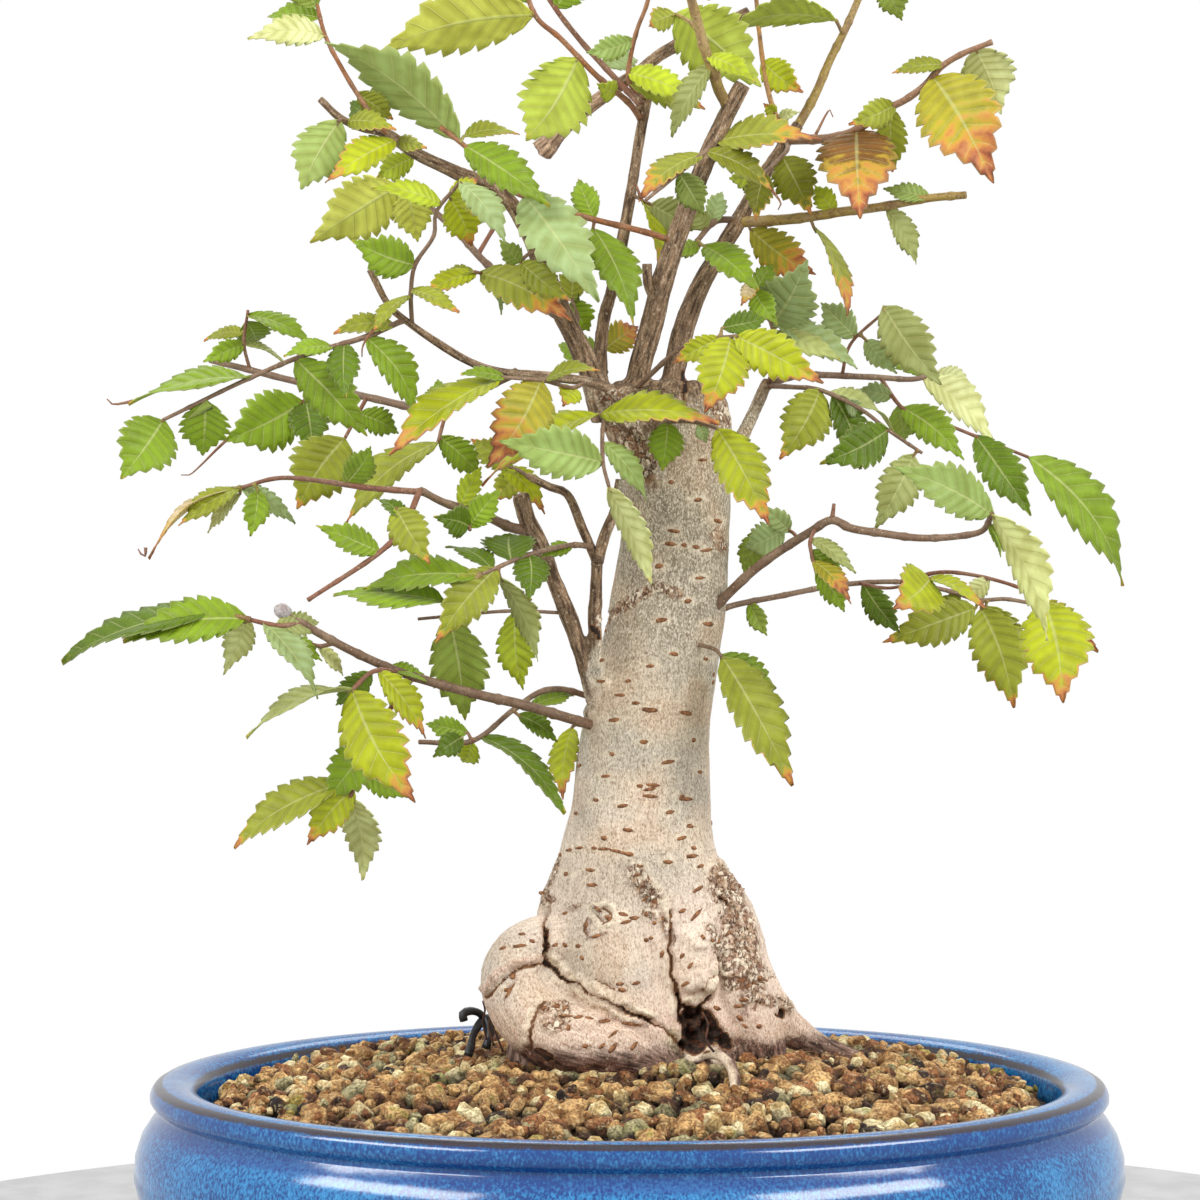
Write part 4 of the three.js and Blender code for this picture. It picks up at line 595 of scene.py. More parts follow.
@dataclass(frozen=True)
class Glaze:
    """A deep cobalt glaze that breaks to brown where it runs thin."""

    deep: tuple[float, ...] = paint(8, 60, 126)
    bright: tuple[float, ...] = paint(44, 130, 188)
    speck: tuple[float, ...] = paint(102, 160, 200)
    plum: tuple[float, ...] = paint(34, 44, 122)
    thin: tuple[float, ...] = paint(50, 34, 24)
    bare: tuple[float, ...] = paint(120, 92, 70)

    def material(self) -> bpy.types.Material:
        """Makes the glaze."""
        board = Board("cobalt_glaze")
        edge, bare, shoulder = board.parts(board.painted("thin"))
        where = board.place()
        runny = board.place((1, 1, 0.6))
        cloud = board.grain(runny, 36, 4)
        mottle = board.grain(runny, 1350, 3, 0.65) + (cloud - 0.5) * 0.5
        colour = board.mix(board.step(mottle, 0.38, 0.62), self.deep, self.bright)
        colour = board.mix(board.step(mottle, 0.6, 0.8) * 0.6, colour, self.speck)
        plum = board.step(shoulder + (cloud - 0.5) * 0.9, 0.45, 0.95)
        colour = board.mix(plum * 0.5, colour, self.plum)
        # Darker on the lip's face and in the groove under it: painted shade in the groove under the rim, and a deeper
        # glaze on the lip.
        pooled = board.parts(board.painted("pooled"))[0]
        colour = board.mix(pooled * board.step(mottle, 0.9, 0.3), colour, self.deep)
        broken = board.step(edge + (board.grain(where, 300, 3) - 0.5) * 0.4, 0.3, 0.62)
        colour = board.mix(broken * 0.92, colour, self.thin)
        bare_clay = board.step(bare, 0.4, 0.6)
        colour = board.mix(bare_clay, colour, self.bare)
        shader = board.surface({
            "Base Color": colour,
            "Roughness": 0.14 + bare_clay * 0.6 + broken * 0.1,
            "Coat Weight": (1 - bare_clay) * 0.3,
            "Coat Roughness": 0.1,
            "Normal": board.bump(board.grain(where, 85, 2) + mottle * 0.12, 0.25, 0.0006),
            "IOR": 1.5,
        })
        return board.finish(shader)


@dataclass(frozen=True)
class Grit:
    """A fired clay or pumice grain."""

    name: str
    light: tuple[float, ...]
    dark: tuple[float, ...]

    def material(self) -> bpy.types.Material:
        """Makes the grain's finish."""
        board = Board(self.name)
        where = board.place()
        colour = board.mix(board.step(board.grain(where, 170, 2), 0.38, 0.6), self.dark, self.light)
        pores = board.step(board.grain(where, 1500, 4, 0.7), 0.36, 0.52)
        colour = board.mix((1 - pores) * 0.6, colour, self.dark, "MULTIPLY")
        # Pale flecks scattered by noise: painted highlights on the grains.
        colour = board.mix(board.step(board.grain(where, 700, 3, 0.6), 0.54, 0.7) * 0.5, colour, paint(252, 230, 176))
        algae = board.step(board.grain(where, 85, 3), 0.6, 0.68)
        colour = board.mix(algae * 0.55, colour, paint(132, 140, 44))
        # Darker low on each grain, where it sinks below its neighbours: painted shade between the grains, with some
        # damp.
        damp = board.parts(board.painted("damp"))[0]
        colour = board.mix(damp * 0.95, colour, paint(34, 20, 10))
        shader = board.surface({
            "Base Color": colour,
            "Roughness": 0.9,
            "Normal": board.bump(pores + board.grain(where, 420, 3), 0.8, 0.0006),
        })
        return board.finish(shader)


class Grain:
    """The run of the wood's grain: a frame that is carried along every stem."""

    def __init__(self, paths: Sequence[Sequence[Vector]]) -> None:
        """Carries the frames along the stems' middles."""
        self.rows: list[tuple[Vector, Vector, Vector, Vector, float]] = []
        for number, path in enumerate(paths):
            side = (path[1] - path[0]).orthogonal().normalized()
            gone = number * 0.41
            for before, here, after in zip([path[0], *path], path, [*path[1:], path[-1]]):
                gone += (here - before).length
                ahead = (after - before).normalized()
                side = (side - ahead * side.dot(ahead)).normalized()
                self.rows.append((here, ahead, side, ahead.cross(side), gone))
        self.tree = KDTree(len(self.rows))
        for i, row in enumerate(self.rows):
            self.tree.insert(row[0], i)
        self.tree.balance()

    def read(self, co: np.ndarray, stretch: float) -> np.ndarray:
        """Gives each place in its stem's frame: two ways across, then along, shortened by the stretch."""
        made = np.empty_like(co)
        for i, place in enumerate(co):
            here, ahead, side, other, gone = self.rows[self.tree.find(place)[1]]
            offset = Vector(place) - here
            made[i] = (offset.dot(side), offset.dot(other), (gone + offset.dot(ahead)) / stretch)
        return made


@dataclass(frozen=True)
class Bark:
    """The bark of the trunk and limbs, over colours painted on the mesh."""

    # The darkest painted shade, deep in the creases and hollows.
    crease_shade: tuple[float, ...] = paint(48, 36, 28)
    tan: tuple[float, ...] = paint(134, 96, 66)
    flake: tuple[float, ...] = paint(244, 230, 210)
    rust: tuple[float, ...] = paint(168, 116, 80)

    def material(self) -> bpy.types.Material:
        """Makes the bark."""
        board = Board("zelkova_bark")
        colour = board.painted("bark")
        rough, dark, streak = board.parts(board.painted("wear"))
        where = board.place()
        grained = board.place((1.1, 1.1, 0.62))
        cloud = board.grain(where, 90, 3, 0.6)
        weave = board.grain(grained, 1000, 4, 0.75)
        fleck = board.grain(grained, 2000, 3, 0.7)
        colour = board.mix(board.step(cloud, 0.44, 0.3) * 0.1, colour, self.rust)
        calm = 1 - streak * 0.85
        colour = board.mix(board.step(weave, 0.5, 0.4) * 0.42 * calm, colour, paint(176, 158, 134), "MULTIPLY")
        colour = board.mix(board.step(fleck, 0.5, 0.6) * 0.7 * calm, colour, self.flake)
        colour = board.mix(board.step(fleck, 0.45, 0.35) * 0.55 * calm, colour, paint(162, 130, 100), "MULTIPLY")
        # Along the limbs the colour follows the ridges of the streaks: painted shade in the grooves and painted
        # highlights on the ridges, over the bark's own streaks.
        lines = board.grain(board.painted("course"), 1000, 3, 0.6)
        colour = board.mix(streak * board.step(lines, 0.5, 0.38) * 0.85, colour, paint(122, 112, 108), "MULTIPLY")
        colour = board.mix(streak * board.step(lines, 0.53, 0.64) * 0.7, colour, (2.1, 2.2, 2.3, 1), "MULTIPLY")
        dots = board.step(board.cells(where, 430), 0.2, 0.12) * board.step(streak, 0.5, 0.8)
        colour = board.mix(dots * 0.55, colour, paint(198, 178, 150))
        tall = board.place((1.15, 1.15, 0.75))
        wobble = board.mix(0.004, tall, board.cells(tall, 700, output="Color"), "ADD")
        flaking = board.step(rough + (cloud - 0.5) * 0.8, 0.3, 0.5)
        shade = board.parts(board.cells(wobble, 370, output="Color"))[0]
        colour = board.mix(flaking * board.step(shade, 0.45, 0.3) * 0.5, colour, paint(176, 132, 96))
        colour = board.mix(flaking * board.step(shade, 0.6, 0.75) * 0.7, colour, paint(250, 234, 208))
        pits = board.step(board.cells(wobble, 370, "DISTANCE_TO_EDGE"), 0.11, 0.04) * flaking
        colour = board.mix(pits * board.step(weave, 0.4, 0.5) * 0.85, colour, paint(108, 68, 42))
        # Where the DARK marks lie: painted shade in creases, pits and hollows, from tan to near black, with an
        # orange-brown tint in the deepest.
        deep = board.mix(board.step(dark, 0.6, 0.85), self.tan, self.crease_shade)
        deep = board.mix(board.step(dark, 0.9, 1.0) * board.step(lines, 0.52, 0.6) * 0.4, deep, paint(140, 74, 38))
        colour = board.mix(board.step(dark + (fleck - 0.5) * 0.5, 0.2, 0.4), colour, deep)
        height = fleck * 0.35 + lines * streak * 0.55 + (1 - pits) * rough * 0.7 + shade * flaking * 0.4 + cloud * 0.2
        shader = board.surface({
            "Base Color": colour,
            "Roughness": 0.78,
            "Normal": board.bump(height, 0.9, 0.0008),
            "Specular IOR Level": 0.3,
        })
        return board.finish(shader)


@dataclass(frozen=True)
class Twig:
    """The bark of young stems, over colours painted on the mesh."""

    def material(self) -> bpy.types.Material:
        """Makes the young bark."""
        board = Board("young_bark")
        colour = board.painted("tint")
        where = board.place()
        cloud = board.grain(where, 160, 3)
        colour = board.mix(board.step(cloud, 0.42, 0.66) * 0.35, colour, paint(176, 148, 120))
        grainy = board.grain(where, 1300, 3, 0.65)
        colour = board.mix(board.step(grainy, 0.5, 0.34) * 0.45, colour, paint(58, 38, 28), "MULTIPLY")
        patch = board.step(board.grain(board.place((1, 1, 0.5)), 330, 3, 0.6), 0.5, 0.62)
        colour = board.mix(patch * 0.5, colour, paint(108, 74, 50))
        dots = board.step(board.cells(where, 620), 0.2, 0.1)
        colour = board.mix(dots * 0.5, colour, paint(206, 184, 152))
        shader = board.surface({
            "Base Color": colour,
            "Roughness": 0.58,
            "Normal": board.bump(grainy * 0.6 + dots * 0.4, 0.55, 0.0003),
        })
        return board.finish(shader)


class BladeFace(Enum):
    """The two faces of a leaf blade."""

    UPPER = "upper"
    UNDER = "under"


@dataclass(frozen=True)
class Blade:
    """A leaf blade's finish: pale veins over colours painted on the mesh.

    The blade's own map holds the count of side veins from the base, a tenth for
    each, and the share across from one edge to the other.
    """

    face: BladeFace

    def material(self) -> bpy.types.Material:
        """Makes one face of the leaf."""
        under = self.face is BladeFace.UNDER
        board = Board(f"leaf_{self.face.value}")
        tint = board.painted("tint")
        dry = board.parts(board.painted("dryness"))[0]
        veins_map = board.wire(board.node("UVMap", {"uv_map": "vein_map"}))
        spread = board.node("SeparateXYZ", sockets={"Vector": veins_map})
        count = board.wire(spread, 0) * 10
        half = board.wire(spread, 1) * 2 - 1
        across = half.math("ABSOLUTE", half)
        part = count.math("FRACT", count) - 0.5
        near = part.math("ABSOLUTE", part) * 2
        side_vein = board.step(near, 0.88, 0.99) * board.step(across, 1.0, 0.7)
        midrib = board.step(across, 0.065, 0.02)
        veins = side_vein.math("MAXIMUM", side_vein * 0.6, midrib)
        where = board.place()
        cloud = board.grain(where, 150, 2)
        fine = board.grain(where, 1400, 2, 0.6)
        colour = board.mix(0.34, tint, paint(196, 204, 130)) if under else tint
        shaded = board.mix(1.0, colour, paint(204, 200, 150), "MULTIPLY")
        colour = board.mix(board.step(cloud, 0.62, 0.38) * 0.4 + near * 0.4, colour, shaded)
        colour = board.mix(board.step(fine, 0.56, 0.7) * 0.16, colour, paint(206, 212, 120))
        blotch = (board.grain(where, 330, 3, 0.65) - 0.5) * 0.5 + (0.5 - near) * 0.2
        dried = dry * 0.9 + blotch
        ramp = board.node("ValToRGB", {"stops": (
            (0.4, paint(214, 190, 60)), (0.56, paint(226, 164, 80)),
            (0.7, paint(200, 124, 78)), (0.82, paint(160, 90, 58)), (0.96, paint(104, 60, 42)),
        )}, {0: dried})
        colour = board.mix(board.step(dried, 0.3, 0.5), colour, board.wire(ramp))
        pale = board.mix(0.55, colour, paint(224, 226, 160))
        colour = board.mix(veins * (0.95 if under else 0.8), colour, pale)
        rim = board.step(across, 0.88, 0.99) * 0.45
        colour = board.mix(rim, colour, pale)
        swell = 1 - near * near
        height = (veins * 0.8 - swell * 0.6 if under else swell * 0.8 - veins * 0.3) + fine * 0.2
        shader = board.surface({
            "Base Color": colour,
            "Roughness": 0.62 if under else 0.45,
            "Normal": board.bump(height, 0.6, 0.0004),
            "Specular IOR Level": 0.35,
        })
        glow = board.wire(board.node("BsdfTranslucent", sockets={
            "Color": board.mix(0.2, colour, paint(200, 214, 70)),
        }))
        both = board.node("MixShader", sockets={0: 0.3, 1: shader, 2: glow})
        return board.finish(board.wire(both))


@dataclass(frozen=True)
class Plain:
    """A simple finish with a little unevenness."""

    name: str
    light: tuple[float, ...]
    dark: tuple[float, ...]
    scale: float
    roughness: float

    def material(self) -> bpy.types.Material:
        """Makes the finish."""
        board = Board(self.name)
        cloud = board.grain(board.place(), self.scale, 4, 0.6)
        shader = board.surface({
            "Base Color": board.mix(board.step(cloud, 0.34, 0.66), self.dark, self.light),
            "Roughness": self.roughness,
            "Normal": board.bump(cloud, 0.4, 0.0004),
        })
        return board.finish(shader)


def closed_form(form: bmesh.types.BMesh, name: str) -> bpy.types.Mesh:
    """Turns an edited form into a mesh and frees it."""
    mesh = bpy.data.meshes.new(name)
    form.to_mesh(mesh)
    form.free()
    return mesh


def linked(name: str, data: bpy.types.ID) -> bpy.types.Object:
    """Puts data in the scene as an object."""
    made = bpy.data.objects.new(name, data)
    bpy.context.collection.objects.link(made)
    return made


def evaluated(holder: bpy.types.Object) -> bpy.types.Mesh:
    """Gives an object's mesh with its modifiers done."""
    return bpy.data.meshes.new_from_object(holder.evaluated_get(bpy.context.evaluated_depsgraph_get()))


def spun(profile: Sequence[tuple[float, float]], turns: int) -> bmesh.types.BMesh:
    """Spins a profile of radii and heights in millimetres, and presses it to the pot's oval."""
    form = bmesh.new()
    verts = [form.verts.new((radius * MM, 0, height * MM)) for radius, height in profile]
    edges = [form.edges.new(pair) for pair in zip(verts, verts[1:])]
    bmesh.ops.spin(
        form, geom=[*verts, *edges], axis=(0, 0, 1), cent=(0, 0, 0),
        angle=math.tau, steps=turns, use_merge=True, use_duplicate=False,
    )
    bmesh.ops.remove_doubles(form, verts=form.verts, dist=WELD)
    bmesh.ops.scale(form, vec=(1, OVAL, 1), verts=form.verts)
    return form


def smooth_path(points: Sequence[Vector], step: float) -> list[Vector]:
    """Gives points on a centripetal curve through some points.

    Args:
        points: The points that the curve runs through.
        step: About how far apart the new points are.

    Returns:
        The points along the curve, ends included.
    """
    if len(points) == 2:
        before, after = 2 * points[0] - points[1], 2 * points[1] - points[0]
    else:
        before, after = 2 * points[0] - points[1], 2 * points[-1] - points[-2]
    knots = [before, *points, after]
    path: list[Vector] = []
    for p0, p1, p2, p3 in zip(knots, knots[1:], knots[2:], knots[3:]):
        gap0, gap1, gap2 = (max(1e-6, (b - a).length) ** 0.5 for a, b in ((p0, p1), (p1, p2), (p2, p3)))
        lead = ((p1 - p0) / gap0 - (p2 - p0) / (gap0 + gap1) + (p2 - p1) / gap1) * gap1
        trail = ((p2 - p1) / gap1 - (p3 - p1) / (gap1 + gap2) + (p3 - p2) / gap2) * gap1
        count = max(1, round((p2 - p1).length / step))
        for i in range(count):
            t = i / count
            path.append(p1 + lead * t + (3 * (p2 - p1) - 2 * lead - trail) * t * t
                        + (2 * (p1 - p2) + lead + trail) * t ** 3)
    return [*path, points[-1].copy()]


def seen_path(knots: Sequence[Sequence[float]], step: float) -> list[Vector]:
    """Gives a smooth path through places of the view; what follows a place's depth is left out."""
    return smooth_path([EYE.seen(*knot[:3]) for knot in knots], step)


def shares_along(path: Sequence[Vector]) -> list[float]:
    """Gives each point's share of a path's length."""
    lengths = [0.0]
    for a, b in zip(path, path[1:]):
        lengths.append(lengths[-1] + (b - a).length)
    return [length / lengths[-1] for length in lengths]


@dataclass
class Run:
    """A round stem: the points along its middle and its radius at each."""

    path: list[Vector]
    radii: list[float]


def tubes(name: str, runs: Sequence[Run], fineness: int) -> bpy.types.Mesh:
    """Makes round stems as one mesh.

    Args:
        name: The mesh's name.
        runs: The stems.
        fineness: The bevel resolution of the curve.

    Returns:
        The mesh, with closed ends.
    """
    curve = bpy.data.curves.new(name, "CURVE")
    curve.dimensions = "3D"
    curve.bevel_depth = 1.0
    curve.bevel_resolution = fineness
    curve.use_fill_caps = True
    for run in runs:
        spline = curve.splines.new("POLY")
        spline.points.add(len(run.path) - 1)
        for knot, place, radius in zip(spline.points, run.path, run.radii):
            knot.co = (*place, 1.0)
            knot.radius = radius
    holder = linked(name, curve)
    mesh = evaluated(holder)
    bpy.data.objects.remove(holder)
    bpy.data.curves.remove(curve)
    form = bmesh.new()
    form.from_mesh(mesh)
    bmesh.ops.remove_doubles(form, verts=form.verts, dist=WELD)
    bmesh.ops.recalc_face_normals(form, faces=form.faces)
    for layer in list(form.loops.layers.uv):
        form.loops.layers.uv.remove(layer)
    form.to_mesh(mesh)
    form.free()
    return mesh


def placed(name: str, mesh: bpy.types.Mesh, finishes: Sequence[bpy.types.Material]) -> bpy.types.Object:
    """Puts a finished mesh in the scene as a piece that rides on the root.

    Args:
        name: The piece's name.
        mesh: Its mesh.
        finishes: Its materials in slot order.

    Returns:
        The piece.
    """
    mesh.name = name
    for finish in finishes:
        mesh.materials.append(finish)
    piece = linked(name, mesh)
    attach(piece, "root")
    LOG.info("%s: %d faces", name, len(mesh.polygons))
    return piece


def smooth_shaded(mesh: bpy.types.Mesh) -> bpy.types.Mesh:
    """Shades a mesh smoothly."""
    mesh.polygons.foreach_set("use_smooth", [True] * len(mesh.polygons))
    return mesh


@dataclass
class Pot:
    """The glazed oval pot: a bellied bowl, a rolled rim, four low feet and two drain holes."""

    outside: tuple[tuple[float, float], ...] = (
        (0, 6), (94, 6), (97, 6.4), (104, 9), (114, 14), (122, 20.5), (128, 28), (133, 37), (135.2, 46),
        (134.9, 52), (133.2, 57.3), (130.6, 61.3), (128.5, 63.2), (128, 64.3),
    )
    rim: tuple[tuple[float, float], ...] = (
        (128.6, 65), (130.2, 66), (130.9, 67.2), (130.9, 68.4), (130.5, 69.6), (129.7, 70.7), (128.3, 71.5),
        (126.6, 71.9), (125, 72),
        (122.4, 71.8), (119.8, 70.9), (118.3, 69.3), (117.8, 67.4),
    )
    inside: tuple[tuple[float, float], ...] = (
        (117.4, 62), (120.4, 53), (121, 46), (113, 31), (95, 17), (60, 15.2), (0, 15),
    )
    turns: int = 144
    foot_reach: float = 76
    foot_bearing: float = math.radians(38)
    foot_height: float = 9
    foot_size: tuple[float, float] = (17, 10)
    drain_offset: float = 42
    drain_radius: float = 8
    drain_span: tuple[float, float] = (-3, 36)
    soft_edge: float = 1.2 * MM
    inner_break: tuple[float, float, float] = (118.6, 69.6, 2.2)
    outer_break: tuple[float, float, float] = (128.8, 71.3, 2.6)
    outer_wall: float = 124
    bare_below: float = 5.5
    lip: tuple[float, float] = (63, 71)

    def bowl(self) -> bpy.types.Mesh:
        """Spins the profile and presses it to an oval."""
        form = spun([*self.outside, *self.rim, *self.inside], self.turns)
        bmesh.ops.recalc_face_normals(form, faces=form.faces)
        return closed_form(form, "bowl")

    def disc(
        self, x: float, y: float, low: float, high: float, long: float, wide: float, turn: float
    ) -> bpy.types.Object:
        """Makes an upright oval block with soft edges, as a tool for joining or cutting."""
        form = bmesh.new()
        bmesh.ops.create_cone(
            form, cap_ends=True, segments=40, radius1=1.0, radius2=1.0, depth=(high - low) * MM,
        )
        bmesh.ops.scale(form, vec=(long * MM, wide * MM, 1), verts=form.verts)
        bmesh.ops.rotate(form, matrix=Matrix.Rotation(turn, 3, "Z"), verts=form.verts)
        bmesh.ops.translate(form, vec=(x * MM, y * MM, (high + low) / 2 * MM), verts=form.verts)
        rims = [edge for edge in form.edges if len(edge.link_faces) == 2
                and any(len(face.verts) > 4 for face in edge.link_faces)]
        bmesh.ops.bevel(
            form, geom=rims, offset=self.soft_edge, offset_type="OFFSET", segments=3,
            profile=0.5, affect="EDGES", material=-1,
        )
        return linked("disc", closed_form(form, "disc"))

    def build(self, glaze: bpy.types.Material) -> None:
        """Joins the feet, cuts the drain holes and puts the pot in place.

        Args:
            glaze: The pot's finish.
        """
        body = linked("bowl", self.bowl())
        tools: list[bpy.types.Object] = []
        for sx, sy in ((1, 1), (-1, 1), (-1, -1), (1, -1)):
            x = sx * self.foot_reach * math.cos(self.foot_bearing)
            y = sy * self.foot_reach * math.sin(self.foot_bearing)
            tools.append(self.disc(x, y, 0, self.foot_height, *self.foot_size, -sx * sy * self.foot_bearing))
        feet = len(tools)
        for side in (-1, 1):
            size = (self.drain_radius, self.drain_radius)
            tools.append(self.disc(side * self.drain_offset, 0, *self.drain_span, *size, 0))
        for i, tool in enumerate(tools):
            cut = body.modifiers.new(f"join_{i}", "BOOLEAN")
            cut.solver = "EXACT"
            cut.operation = "UNION" if i < feet else "DIFFERENCE"
            cut.object = tool
        mesh = evaluated(body)
        for spare in (body, *tools):
            bpy.data.objects.remove(spare)
        self.paint_thin(mesh)
        piece = placed("pot_body", smooth_shaded(mesh), [glaze])
        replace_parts(piece, "pot")

    def paint_thin(self, mesh: bpy.types.Mesh) -> None:
        """Paints where the glaze runs thin and where the clay is bare."""
        layer = mesh.color_attributes.new("thin", "FLOAT_COLOR", "POINT")
        deep_glaze_and_shade_layer = mesh.color_attributes.new("pooled", "FLOAT_COLOR", "POINT")
        for vert, cell, deep_glaze_and_shade in zip(mesh.vertices, layer.data, deep_glaze_and_shade_layer.data):
            height = vert.co.z / MM
            reach = math.hypot(vert.co.x, vert.co.y / OVAL) / MM
            breaks = [
                1 - math.hypot(reach - middle, height - level) / spread
                for middle, level, spread in (self.inner_break, self.outer_break)
            ]
            edge = max(*breaks, 0.5 - abs(height - 8) / 4 if reach > 90 and height < 14 else 0)
            bare = 1.0 if height < self.bare_below or (reach < 116 and 12 < height < 60) else 0.0
            outer = reach > self.outer_wall
            shoulder = 1 - abs(height - 62) / 4.5 if outer and height < 66 else 0
            cell.color = (max(0.0, edge), bare, max(0.0, shoulder), 1.0)
            # The lip's face and the groove under it: painted shade in the groove under the rim, and a deeper glaze on
            # the lip.
            deep_glaze_and_shade.color = (0.95 if outer and self.lip[0] < height < self.lip[1] else 0.0, 0, 0, 1)


class Paint(Enum):
    """What a mark leaves on the bark."""

    ROUGH = 0
    # Painted shade in creases, pits and hollows.
    DARK = 1
    STREAK = 2
    PINK = 3
    RUST = 4
    PALE = 5
    BROWN = 6
    MOSS = 7
    GREY = 8


@dataclass(frozen=True)
class Mark:
    """A crease, scar, swelling or stain on the bark, along a picture route.

    Attributes:
        route: Picture places along its middle.
        reach: Half its width in the picture.
        press: How deep it goes in millimetres, or how high it swells below 0.
        paint: What it leaves.
        strength: How strongly it is painted.
        ink: How wide the paint lies, as a share of the reach.
    """

    route: tuple[tuple[float, float], ...]
    reach: float
    press: float
    paint: Paint
    strength: float
    ink: float = 1.0
